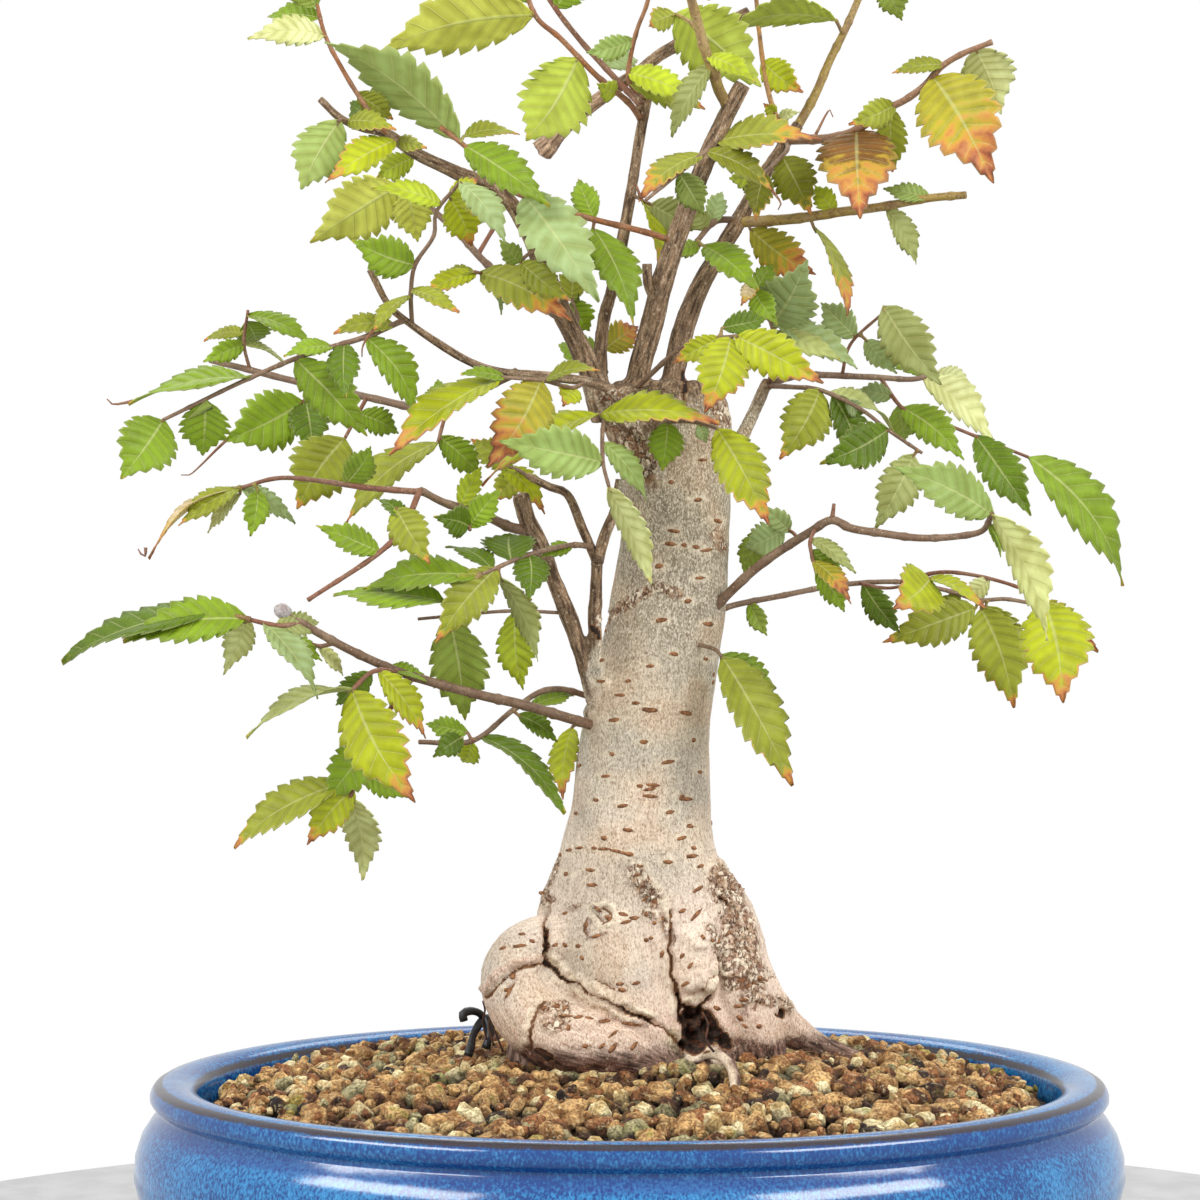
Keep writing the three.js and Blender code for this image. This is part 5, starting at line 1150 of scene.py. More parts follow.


# The DARK marks paint shade into creases, pits and hollows.
MARKS = (
    Mark(((549, 900), (545, 925), (546, 945), (549, 966)), 4.5, 2.4, Paint.DARK, 0.36, 0.55),
    Mark(((546, 924), (547, 940), (548, 956)), 4, 1.2, Paint.DARK, 0.95, 0.55),
    Mark(((483, 990), (497, 975), (511, 966), (525, 960), (545, 957)), 4, -1.1, Paint.PINK, 0.8),
    Mark(((485, 999), (500, 982), (514, 972), (528, 966), (546, 964)), 2.4, 1.4, Paint.DARK, 0.62, 0.55),
    Mark(((549, 965), (561, 976), (574, 983)), 3.2, 2.6, Paint.DARK, 0.9, 0.55),
    Mark(((578, 985), (587, 993)), 2.6, 1.6, Paint.DARK, 0.8, 0.55),
    Mark(((590, 994), (622, 1008)), 2.2, 1.0, Paint.DARK, 0.4, 0.55),
    Mark(((622, 1008), (636, 1015), (651, 1021)), 3, 2.2, Paint.DARK, 0.9, 0.55),
    Mark(((652, 1022), (668, 1032), (684, 1046)), 2.6, 1.5, Paint.DARK, 0.55, 0.55),
    Mark(((552, 961), (575, 976), (600, 991), (622, 1002), (650, 1015)), 5, -1.0, Paint.PALE, 0.95),
    Mark(((556, 979), (580, 994), (612, 1011), (640, 1023)), 4, -0.7, Paint.PALE, 0.85),
    Mark(((595, 979), (605, 984), (615, 990)), 1.8, 0.6, Paint.DARK, 0.4, 0.55),
    Mark(((672, 912), (670, 949), (673, 978), (677, 995)), 3, 2.0, Paint.DARK, 0.5, 0.55),
    Mark(((677, 995), (681, 1018), (684, 1050)), 3, 2.6, Paint.DARK, 1.0, 0.55),
    Mark(((667, 955), (669, 985), (674, 1012)), 4, -0.6, Paint.PALE, 0.7),
    Mark(((694, 945), (693, 980)), 16, -1.8, Paint.PALE, 0.3),
    Mark(((716, 964), (711, 984), (699, 998), (684, 1001)), 3.6, -1.2, Paint.PALE, 0.9),
    Mark(((720, 958), (716, 984), (706, 1001), (695, 1010), (683, 1006)), 3, 2.4, Paint.DARK, 0.85, 0.55),
    Mark(((711, 974), (705, 987), (693, 995)), 1.8, 0.5, Paint.DARK, 0.36, 0.55),
    Mark(((694, 1020), (696, 1044)), 12, 6.0, Paint.DARK, 1.0),
    Mark(((704, 1022), (711, 1034)), 11, 4.0, Paint.DARK, 1.0),
    Mark(((716, 1036), (728, 1044)), 6, 3.0, Paint.DARK, 1.0),
    Mark(((689, 1011), (700, 1011)), 5, 3.0, Paint.DARK, 1.0),
    Mark(((604, 902), (613, 907), (616, 916), (610, 925), (600, 926), (592, 919), (592, 908), (604, 902)), 3, -0.9,
         Paint.PALE, 0.85),
    Mark(((603, 906), (610, 911), (611, 918), (604, 922), (597, 916)), 2, 0.8, Paint.DARK, 0.42, 0.7),
    Mark(((598, 908), (600, 911)), 3.4, -0.9, Paint.RUST, 0.75),
    Mark(((607, 917), (609, 919)), 3.2, -0.9, Paint.RUST, 0.75),
    Mark(((586, 918), (583, 925), (585, 936)), 2, 0.9, Paint.DARK, 0.4, 0.8),
    Mark(((588, 924), (587, 931)), 3.4, -0.5, Paint.RUST, 0.6),
    Mark(((586, 940), (596, 936), (606, 932)), 2.2, -0.4, Paint.RUST, 0.75),
    Mark(((572, 907), (580, 905)), 4, -0.2, Paint.ROUGH, 0.6),
    Mark(((634, 872), (645, 885), (655, 900)), 11, -0.3, Paint.ROUGH, 1.0),
    Mark(((652, 880), (663, 896), (668, 916)), 4.5, -0.9, Paint.PALE, 0.85),
    Mark(((645, 915), (664, 920), (671, 942)), 7, 0.0, Paint.ROUGH, 0.7),
    Mark(((722, 878), (732, 905), (738, 930), (744, 958), (752, 980)), 19, -0.3, Paint.ROUGH, 1.0),
    Mark(((712, 930), (724, 958), (730, 985)), 9, -0.2, Paint.ROUGH, 0.9),
    Mark(((722, 900), (728, 904)), 3, 1.4, Paint.DARK, 0.9, 0.55),
    Mark(((736, 976), (745, 985)), 5, 0.0, Paint.RUST, 0.6),
    Mark(((752, 972), (762, 968)), 3.6, 0.0, Paint.RUST, 0.6),
    Mark(((727, 990), (750, 984), (775, 976)), 2, 0.6, Paint.DARK, 0.4, 0.55),
    Mark(((753, 1012), (757, 1002), (766, 1001), (772, 1008)), 2, 0.7, Paint.DARK, 0.36, 0.7),
    Mark(((744, 1004), (746, 1014)), 4, 0.2, Paint.RUST, 0.6),
    Mark(((781, 1013),), 4, 1.6, Paint.DARK, 1.0),
    Mark(((787, 1007),), 4, -1.0, Paint.PALE, 1.0),
    Mark(((744, 998), (770, 1000), (790, 1006)), 8, -0.3, Paint.ROUGH, 0.8),
    Mark(((708, 1012), (722, 1022), (738, 1034)), 4, -0.6, Paint.PINK, 0.6),
    Mark(((547, 1002), (538, 1010), (531, 1024), (529, 1040), (533, 1054)), 2.4, 1.0, Paint.DARK, 0.6, 0.55),
    Mark(((543, 999), (533, 1010), (526, 1026), (523, 1040)), 4, -0.7, Paint.PALE, 0.8),
    Mark(((545, 1008), (566, 1006), (560, 1026), (545, 1024)), 9, 0.0, Paint.ROUGH, 0.7),
    Mark(((516, 976), (505, 1000)), 2.2, 0.4, Paint.RUST, 0.45),
    Mark(((424, 1036), (472, 1040)), 10, 0.0, Paint.RUST, 0.9),
    Mark(((530, 1052), (547, 1066), (578, 1075), (612, 1068), (640, 1082)), 9, 0.5, Paint.RUST, 1.0),
    Mark(((537, 1052), (549, 1058)), 4, 0.3, Paint.DARK, 1.0),
    Mark(((488, 1052), (500, 1068), (512, 1082)), 11, 1.0, Paint.DARK, 1.0),
    Mark(((738, 1042), (764, 1050), (800, 1042)), 5, 0.3, Paint.RUST, 0.85),
    Mark(((672, 1036), (680, 1052)), 8, 0.0, Paint.MOSS, 0.7),
    Mark(((556, 862), (548, 880), (543, 902)), 6, 0.0, Paint.ROUGH, 0.8),
    Mark(((498, 935), (500, 978)), 26, 0.0, Paint.GREY, 0.6),
    Mark(((692, 1056), (706, 1052), (720, 1058), (730, 1074), (732, 1094)), 7, 0.0, Paint.PALE, 1.0),
    Mark(((596, 1023), (614, 1020), (646, 1025)), 3, -0.3, Paint.RUST, 0.6),
    Mark(((621, 610), (637, 597), (657, 587), (677, 593)), 6, -0.2, Paint.ROUGH, 1.0),
    Mark(((600, 622), (610, 614)), 7, 0.2, Paint.ROUGH, 0.9),
    Mark(((669, 544), (712, 550)), 3, 0.0, Paint.PALE, 0.6),
    Mark(((718, 536), (724, 546)), 8, 0.0, Paint.ROUGH, 0.7),
    Mark(((535, 158), (545, 147)), 10, -1.2, Paint.PINK, 0.9),
    Mark(((545, 148), (575, 118), (605, 95)), 12, 0.0, Paint.PINK, 0.55),
    Mark(((600, 385), (730, 385)), 24, 0.0, Paint.BROWN, 1.0),
    Mark(((606, 420), (650, 420)), 24, 0.0, Paint.BROWN, 1.0),
    Mark(((612, 450), (642, 458)), 18, 0.0, Paint.BROWN, 1.0),
    Mark(((650, 476), (654, 486)), 9, 0.0, Paint.BROWN, 0.9),
    Mark(((582, 672), (588, 692)), 6, 0.0, Paint.BROWN, 0.8),
    Mark(((612, 400), (630, 430), (646, 470)), 16, -0.4, Paint.ROUGH, 0.9),
    Mark(((712, 395), (724, 420)), 10, 0.0, Paint.ROUGH, 0.9),
    Mark(((580, 700), (584, 712)), 8, -0.5, Paint.ROUGH, 1.0),
    Mark(((593, 628), (598, 634)), 4, -0.8, Paint.DARK, 0.85),
    Mark(((686, 372), (684, 398)), 5, 0.6, Paint.DARK, 0.9, 0.55),
)
LENTICELS = (
    (560, 855), (569, 850), (579, 848), (594, 848), (604, 849), (616, 851), (629, 854),
    (702, 460), (671, 482), (698, 500), (718, 521), (674, 531), (670, 544), (684, 545), (696, 547), (707, 550),
    (659, 566), (700, 578), (688, 601), (662, 620), (708, 624), (674, 654), (706, 659), (650, 666), (628, 681),
    (601, 681), (620, 695), (636, 703), (648, 710), (686, 713), (614, 720), (694, 740), (584, 726), (612, 754),
    (602, 660), (644, 742), (668, 762), (700, 772), (606, 776), (640, 786), (650, 789), (682, 796), (596, 800),
    (622, 806), (670, 812), (628, 830), (690, 826), (604, 838), (682, 838), (694, 848), (692, 856), (668, 862),
    (701, 866), (590, 870), (640, 866), (566, 874), (622, 914), (626, 922), (634, 918),
    (646, 914), (578, 946), (508, 990), (520, 946), (566, 1016), (744, 1000), (760, 978),
)
BARS = (
    (698, 889, 25, 2.4), (696, 915, 45, 2.9), (682, 911, 20, 1.3), (682, 956, 35, 1.4), (690, 966, 45, 1.9),
    (685, 984, 30, 1.6), (703, 937, -60, 1.0), (712, 940, -40, 1.2), (719, 941, 40, 1.1), (592, 885, 0, 2.0),
    (565, 913, 25, 1.1), (565, 945, -40, 1.0), (620, 984, 0, 1.4), (636, 983, 12, 1.6), (622, 990, -10, 1.3),
    (605, 1021, 5, 2.1), (632, 1024, -6, 3.4), (613, 1034, 35, 2.1), (602, 1046, 40, 1.3), (613, 1048, 45, 2.0),
    (634, 1046, 40, 1.8), (513, 976, 55, 1.4), (510, 991, 62, 2.6), (536, 964, 40, 1.2), (653, 785, -3, 2.2),
    (650, 796, -6, 2.6), (686, 799, -3, 2.9), (624, 853, -12, 2.6), (709, 624, -3, 2.0), (652, 710, -4, 2.0),
    (729, 933, 50, 1.2), (752, 984, 18, 2.6), (738, 1006, 8, 1.6), (598, 909, -60, 1.5), (608, 918, -30, 1.4),
    (586, 926, 85, 1.4), (596, 936, 18, 2.0), (637, 875, 0, 1.2), (654, 901, -20, 1.2), (645, 899, 30, 1.2),
    (651, 938, 0, 0.8), (646, 940, 0, 0.8), (662, 954, 80, 1.2), (555, 945, 20, 1.2), (582, 958, -45, 0.9),
    (654, 923, 30, 0.9), (663, 918, 40, 1.2), (569, 1027, 60, 1.3), (565, 1008, 20, 1.2), (557, 1006, 30, 1.1),
    (544, 1008, 40, 1.2), (585, 1046, 0, 1.0), (578, 1017, 10, 1.6), (589, 1018, -15, 1.4), (740, 1018, -40, 1.3),
    (745, 1026, -35, 1.2), (741, 980, 20, 1.4), (755, 983, -20, 1.2), (717, 1008, -20, 1.3), (759, 1026, 0, 1.0),
    (503, 948, 20, 1.3), (522, 934, 5, 1.2), (532, 941, -25, 1.0),
)


@dataclass
class Wood:
    """The grown wood: trunk, roots and limbs, with its scars, creases and lenticels."""

    root_voxel: float = 0.57 * MM
    trunk_voxel: float = 0.7 * MM
    limb_voxel: float = 0.85 * MM
    trunk_foot: float = 0.1335
    limb_foot: float = 0.246
    trunk_sides: int = 56
    thick: float = 1.75
    scattered_pores: int = 90
    pore_depth: float = 0.36 * MM
    aimed_at: float = -40
    seed: int = 5

    def __post_init__(self) -> None:
        """Lays out how the grain runs."""
        heart = [Vector((row[1], row[2], row[0])) * MM for row in smooth_path([Vector(row) for row in TRUNK], 4.0)]
        stems = [seen_path(knots, 2 * MM) for knots in ROOTS.values()]
        stems += [seen_path(limb.route, 2 * MM) for limb in LIMBS.values()]
        self.grain = Grain([heart, *stems])

    def trunk(self) -> bpy.types.Mesh:
        """Draws the trunk up from an oval ring, station by station."""
        stations = smooth_path([Vector(row) for row in TRUNK], 4.0)
        form = bmesh.new()
        low = stations[0]
        ring = bmesh.ops.create_circle(form, cap_ends=False, segments=self.trunk_sides, radius=1.0)["verts"]
        bmesh.ops.scale(form, vec=(low[3] * MM, low[4] * MM, 1), verts=ring)
        bmesh.ops.translate(form, vec=(low[1] * MM, low[2] * MM, low[0] * MM), verts=ring)
        edges = list(form.edges)
        for below, above in zip(stations, stations[1:]):
            made = bmesh.ops.extrude_edge_only(form, edges=edges)["geom"]
            ring = [part for part in made if isinstance(part, bmesh.types.BMVert)]
            edges = [part for part in made if isinstance(part, bmesh.types.BMEdge)
                     and part.verts[0] in ring and part.verts[1] in ring]
            centre = Vector((below[1], below[2], below[0])) * MM
            bmesh.ops.scale(
                form, vec=(above[3] / below[3], above[4] / below[4], 1),
                space=Matrix.Translation(-centre), verts=ring,
            )
            bmesh.ops.translate(form, vec=Vector((above[1], above[2], above[0])) * MM - centre, verts=ring)
        bmesh.ops.holes_fill(form, edges=form.edges, sides=0)
        bmesh.ops.recalc_face_normals(form, faces=form.faces)
        return closed_form(form, "trunk")

    def roots(self) -> list[Run]:
        """Gives the surface roots as runs."""
        runs = []
        for knots in ROOTS.values():
            path = seen_path(knots, 2 * MM)
            radii = [float(np.interp(share * (len(knots) - 1), range(len(knots)), [knot[3] for knot in knots])) * MM
                     for share in shares_along(path)]
            runs.append(Run(path, radii))
        return runs

    def limbs(self) -> tuple[list[Run], list[Run]]:
        """Gives the limbs' thick parts, and their thin parts with a short overlap."""
        draw = random.Random(self.seed)
        thick, thin = [], []
        for name, limb in LIMBS.items():
            path = seen_path(limb.route, 2 * MM)
            start, end = limb.widths
            flare = 0.6 if name == "behind" else 0.28 if start > 3.5 else 0.1
            radii = [
                (start + (end - start) * share) / 2 * MM
                * (1 + flare * max(0.0, 1 - share / 0.1)) * (1 + draw.uniform(-0.03, 0.03))
                for share in shares_along(path)
            ]
            split = next((i for i, radius in enumerate(radii) if radius < self.thick * MM), len(path))
            if split > 2:
                thick.append(Run(path[:split], radii[:split]))
            if split < len(path) - 1:
                first = max(0, split - 3) if split > 2 else 0
                thin.append(Run(path[first:], [radius * 0.97 for radius in radii[first:]]))
        return thick, thin

    def fused(self, meshes: Sequence[bpy.types.Mesh], voxel: float, low: float, high: float) -> bpy.types.Mesh:
        """Fuses overlapping closed forms to one skin between two heights.

        Args:
            meshes: The forms.
            voxel: How fine the skin is, in metres.
            low: Where the skin is cut off below.
            high: Where it is cut off above.

        Returns:
            The closed skin.
        """
        form = bmesh.new()
        for mesh in meshes:
            form.from_mesh(mesh)
        holder = linked("rough_wood", closed_form(form, "rough_wood"))
        skin = holder.modifiers.new("skin", "REMESH")
        skin.mode = "VOXEL"
        skin.voxel_size = voxel
        soften = holder.modifiers.new("soften", "SMOOTH")
        soften.factor = 0.5
        soften.iterations = 4
        mesh = evaluated(holder)
        bpy.data.objects.remove(holder)
        form = bmesh.new()
        form.from_mesh(mesh)
        for height, aim in ((low, -1), (high, 1)):
            cut = bmesh.ops.bisect_plane(
                form, geom=[*form.verts, *form.edges, *form.faces], plane_co=(0, 0, height),
                plane_no=(0, 0, aim), clear_outer=True,
            )
            rim = [part for part in cut["geom_cut"] if isinstance(part, bmesh.types.BMEdge)]
            if rim:
                bmesh.ops.holes_fill(form, edges=rim, sides=0)
        bmesh.ops.triangulate(form, faces=[face for face in form.faces if len(face.verts) > 4])
        form.to_mesh(mesh)
        form.free()
        return mesh

    def weather(self, mesh: bpy.types.Mesh, lumps: float) -> None:
        """Presses the marks and the bark's unevenness in, and paints them.

        Args:
            mesh: The wood, which is changed.
            lumps: How strong the unevenness is.
        """
        count = len(mesh.vertices)
        co = np.empty(count * 3)
        mesh.vertices.foreach_get("co", co)
        co = co.reshape(-1, 3)
        normals = np.empty(count * 3)
        mesh.vertex_normals.foreach_get("vector", normals)
        normals = normals.reshape(-1, 3)
        spots = EYE.pictured(co)
        wander = np.array([
            noise.noise_vector(Vector(p) * 240) + noise.noise_vector(Vector(p) * 610) * 0.5 for p in co
        ])
        spots = spots + wander[:, (0, 2)] * 3.4
        uneven = np.clip(0.85 + wander[:, 1] * 1.5, 0.25, 1.3)
        front = np.clip((0.35 - normals[:, 1]) / 0.4, 0, 1)
        masks = {paint_kind: np.zeros(count) for paint_kind in Paint}
        press = np.zeros(count)
        for mark in MARKS:
            away = self.distance(spots, mark.route)
            fall = np.clip(1 - away / (mark.reach * 1.5), 0, 1)
            fall = fall * fall * (3 - 2 * fall) * front
            press += mark.press * fall * uneven
            # DARK marks paint shade into creases, pits and hollows.
            if mark.paint is Paint.DARK:
                fall = np.clip(4.6 - 4 * away / (mark.reach * mark.ink), 0, 1) * front
            elif mark.paint in (Paint.RUST, Paint.PALE, Paint.PINK):
                fall = np.clip(2.4 - 2 * away / mark.reach, 0, 1) * front
            masks[mark.paint] = np.maximum(masks[mark.paint], fall * mark.strength)
        for px, py in LENTICELS:
            away = np.hypot((spots[:, 0] - px) / 9, (spots[:, 1] - py) / 4)
            halo = np.clip(1.5 - away, 0, 0.6) * front
            masks[Paint.PALE] = np.maximum(masks[Paint.PALE], halo)
        plates = self.plates(co, masks[Paint.ROUGH])
        height = co[:, 2] / MM
        coarse, middle, fine, patch, warm = (
            np.array([noise.noise(Vector(p) * scale + Vector((shift, 0, 0))) for p in co])
            for scale, shift in ((60, 0), (170, 9), (520, 3), (45, 31), (90, 77))
        )
        rough = masks[Paint.ROUGH]
        lift = coarse * 0.5 + middle * 0.16 + fine * 0.05 + plates * rough * 0.85 - press
        low = np.clip((165 - height) / 60, 0, 1)
        limb = np.maximum(np.clip((height - 252) / 12, 0, 1), masks[Paint.BROWN])
        edge = np.interp(spots[:, 1], (440, 500, 560, 620, 650, 690), (630, 621, 612, 604, 598, 586))
        beside = np.clip((edge - 3 - spots[:, 0]) / 3, 0, 1) * (spots[:, 1] < 690) * (spots[:, 1] > 400)
        limb = np.maximum(limb, beside)
        masks[Paint.STREAK] = np.maximum(masks[Paint.STREAK], 0.15 + limb * 0.75)
        co += normals * ((lift * lumps) * MM)[:, None]
        mesh.vertices.foreach_set("co", co.ravel())
        grey = tone(192, 182, 164)
        soil_stain = np.clip((84 - height) / 4.5, 0, 1) * (0.86 - 0.8 * masks[Paint.PALE])
        layers = (
            (np.clip(0.5 + warm * 1.6, 0, 1), tone(218, 198, 172)),
            (low * np.clip(0.75 + patch, 0, 1), tone(246, 224, 206)),
            (np.clip((height - 178) / 22, 0, 1) * 0.54, tone(124, 114, 88)),
            (np.clip((100 - height) / 12, 0, 1) * 0.42, tone(204, 160, 130)),
            (masks[Paint.GREY] * 0.8, grey),
            (limb, tone(132, 106, 80)),
            (masks[Paint.PINK] * 0.8, tone(208, 170, 148)),
            (masks[Paint.PALE] * 0.8, tone(242, 226, 198)),
            (masks[Paint.MOSS] * 0.8, tone(158, 156, 96)),
            (rough * np.clip(0.3 + plates, 0, 0.8), tone(242, 226, 200)),
            (rough * np.clip(-0.1 - plates * 1.25, 0, 0.9), tone(134, 92, 60)),
            (np.clip((warm - 0.2) * 1.6, 0, 0.3) * (1 - limb), tone(196, 160, 126)),
            (masks[Paint.RUST] * 0.85, tone(110, 62, 44)),
            (soil_stain, tone(84, 50, 38)),
        )
        colour = np.tile(grey, (count, 1))
        for share, above in layers:
            colour = colour + (above - colour) * share[:, None]
        masks[Paint.STREAK] = np.maximum.reduce((masks[Paint.STREAK], soil_stain * 1.2, masks[Paint.RUST] * 0.7))
        self.store(mesh, "bark", colour)
        self.store(mesh, "course", self.grain.read(co, 6))
        # The second channel is the DARK marks: painted shade in creases and hollows.
        self.store(mesh, "wear", np.stack((rough, masks[Paint.DARK], masks[Paint.STREAK]), axis=1))

    @staticmethod
    def plates(co: np.ndarray, rough: np.ndarray) -> np.ndarray:
        """Gives flaking bark's plates, from about -1 in the cracks to 0.8 on the highest plates."""
        heights = np.zeros(len(co))
        for i in np.flatnonzero(rough > 0.04):
            place = Vector(co[i])
            bent = Vector((place.x * 420, place.y * 420, place.z * 290)) + noise.noise_vector(place * 330) * 0.9
            gaps, hearts = noise.voronoi(bent, distance_metric="DISTANCE", exponent=2.5)
            tall = noise.noise(hearts[0] * 3.7)
            edge = gaps[1] - gaps[0]
            heights[i] = -0.9 if edge < 0.12 else -0.6 if tall < -0.22 else 0.25 + 0.6 * tall
        return heights

    @staticmethod
    def distance(spots: np.ndarray, route: Sequence[tuple[float, float]]) -> np.ndarray:
        """Gives each picture place's distance from a route."""
        ends = np.array(route, dtype=float)
        if len(ends) == 1:
            return np.hypot(*(spots - ends[0]).T)
        best = np.full(len(spots), 1e9)
        for a, b in zip(ends, ends[1:]):
            share = np.clip(((spots - a) @ (b - a)) / ((b - a) @ (b - a)), 0, 1)
            best = np.minimum(best, np.hypot(*(spots - a - share[:, None] * (b - a)).T))
        return best

    @staticmethod
    def store(mesh: bpy.types.Mesh, name: str, colours: np.ndarray) -> None:
        """Keeps a colour for each vertex."""
        layer = mesh.color_attributes.new(name, "FLOAT_COLOR", "POINT")
        layer.data.foreach_set("color", np.hstack((colours, np.ones((len(colours), 1)))).ravel())

    def lenticels(self, skin: BVHTree) -> bpy.types.Mesh:
        """Lays small raised lens-shaped pores across the bark."""
        draw = random.Random(self.seed)
        form = bmesh.new()
        shots = [
            (EYE.place, EYE.seen(px, py, self.aimed_at) - EYE.place, draw.uniform(1.0, 2.4), draw.uniform(-0.2, 0.2))
            for px, py in LENTICELS
        ]
        shots += [
            (EYE.place, EYE.seen(px, py, self.aimed_at) - EYE.place, half, math.radians(tilt))
            for px, py, tilt, half in BARS
        ]
        for _ in range(self.scattered_pores):
            bearing = draw.uniform(-0.35, math.pi + 0.35)
            height = draw.uniform(0.1, 0.25)
            heart = Vector((0.008, 0.006, height))
            away = Vector((math.cos(bearing), math.sin(bearing), 0))
            shots.append((heart + away * 0.2, -away, draw.uniform(0.8, 1.9), draw.uniform(-0.2, 0.2)))
        for origin, aim, half, tilt in shots:
            spot, normal, _, _ = skin.ray_cast(origin, aim.normalized(), 2.0)
            if spot is None:
                continue
            side = Vector((0, 0, 1)).cross(normal).normalized()
            up = normal.cross(side)
            verts = bmesh.ops.create_icosphere(form, subdivisions=1, radius=1.0)["verts"]
            bmesh.ops.scale(form, vec=(half * MM, draw.uniform(0.5, 0.8) * MM, self.pore_depth), verts=verts)
            for vert in verts:
                vert.co *= draw.uniform(0.84, 1.14)
            frame_of = Matrix((side, up, normal)).transposed() @ Matrix.Rotation(tilt, 3, "Z")
            bmesh.ops.rotate(form, matrix=frame_of, verts=verts)
            bmesh.ops.translate(form, vec=spot, verts=verts)
        return closed_form(form, "lenticels")

    def build(self, bark: bpy.types.Material, pore: bpy.types.Material) -> BVHTree:
        """Builds the wood's pieces.

        Args:
            bark: The bark's finish.
            pore: The lenticels' finish.

        Returns:
            The wood's skin, for placing what touches it.
        """
        thick, thin = self.limbs()
        stray = self.roots()[-1]
        parts = [self.trunk(), tubes("roots", self.roots()[:-1], 6), tubes("limbs", thick, 6)]
        cuts = (
            ("roots", self.root_voxel, 0.064, self.trunk_foot + 0.0004, 1.0),
            ("trunk", self.trunk_voxel, self.trunk_foot, self.limb_foot + 0.004, 1.0),
            ("limbs", self.limb_voxel, self.limb_foot, 1.0, 0.7),
        )
        points: list[Vector] = []
        faces: list[tuple[int, ...]] = []
        for name, voxel, low, high, lumps in cuts:
            mesh = self.fused(parts, voxel, low, high)
            self.weather(mesh, lumps)
            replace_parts(placed(name, smooth_shaded(mesh), [bark]), "tree_wood")
            if name != "limbs":
                faces.extend(tuple(i + len(points) for i in part.vertices) for part in mesh.polygons)
                points.extend(vert.co.copy() for vert in mesh.vertices)
        fine = tubes("fine", [*thin, stray], 3)
        self.weather(fine, 0.35)
        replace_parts(placed("thin_limbs", smooth_shaded(fine), [bark]), "tree_wood")
        skin = BVHTree.FromPolygons(points, faces)
        placed("bark_pores", smooth_shaded(self.lenticels(skin)), [pore])
        return skin


@dataclass(frozen=True)
class GritShare:
    """A kind of soil grain, and how large a share of the soil it is."""

    grit: Grit
    share: float


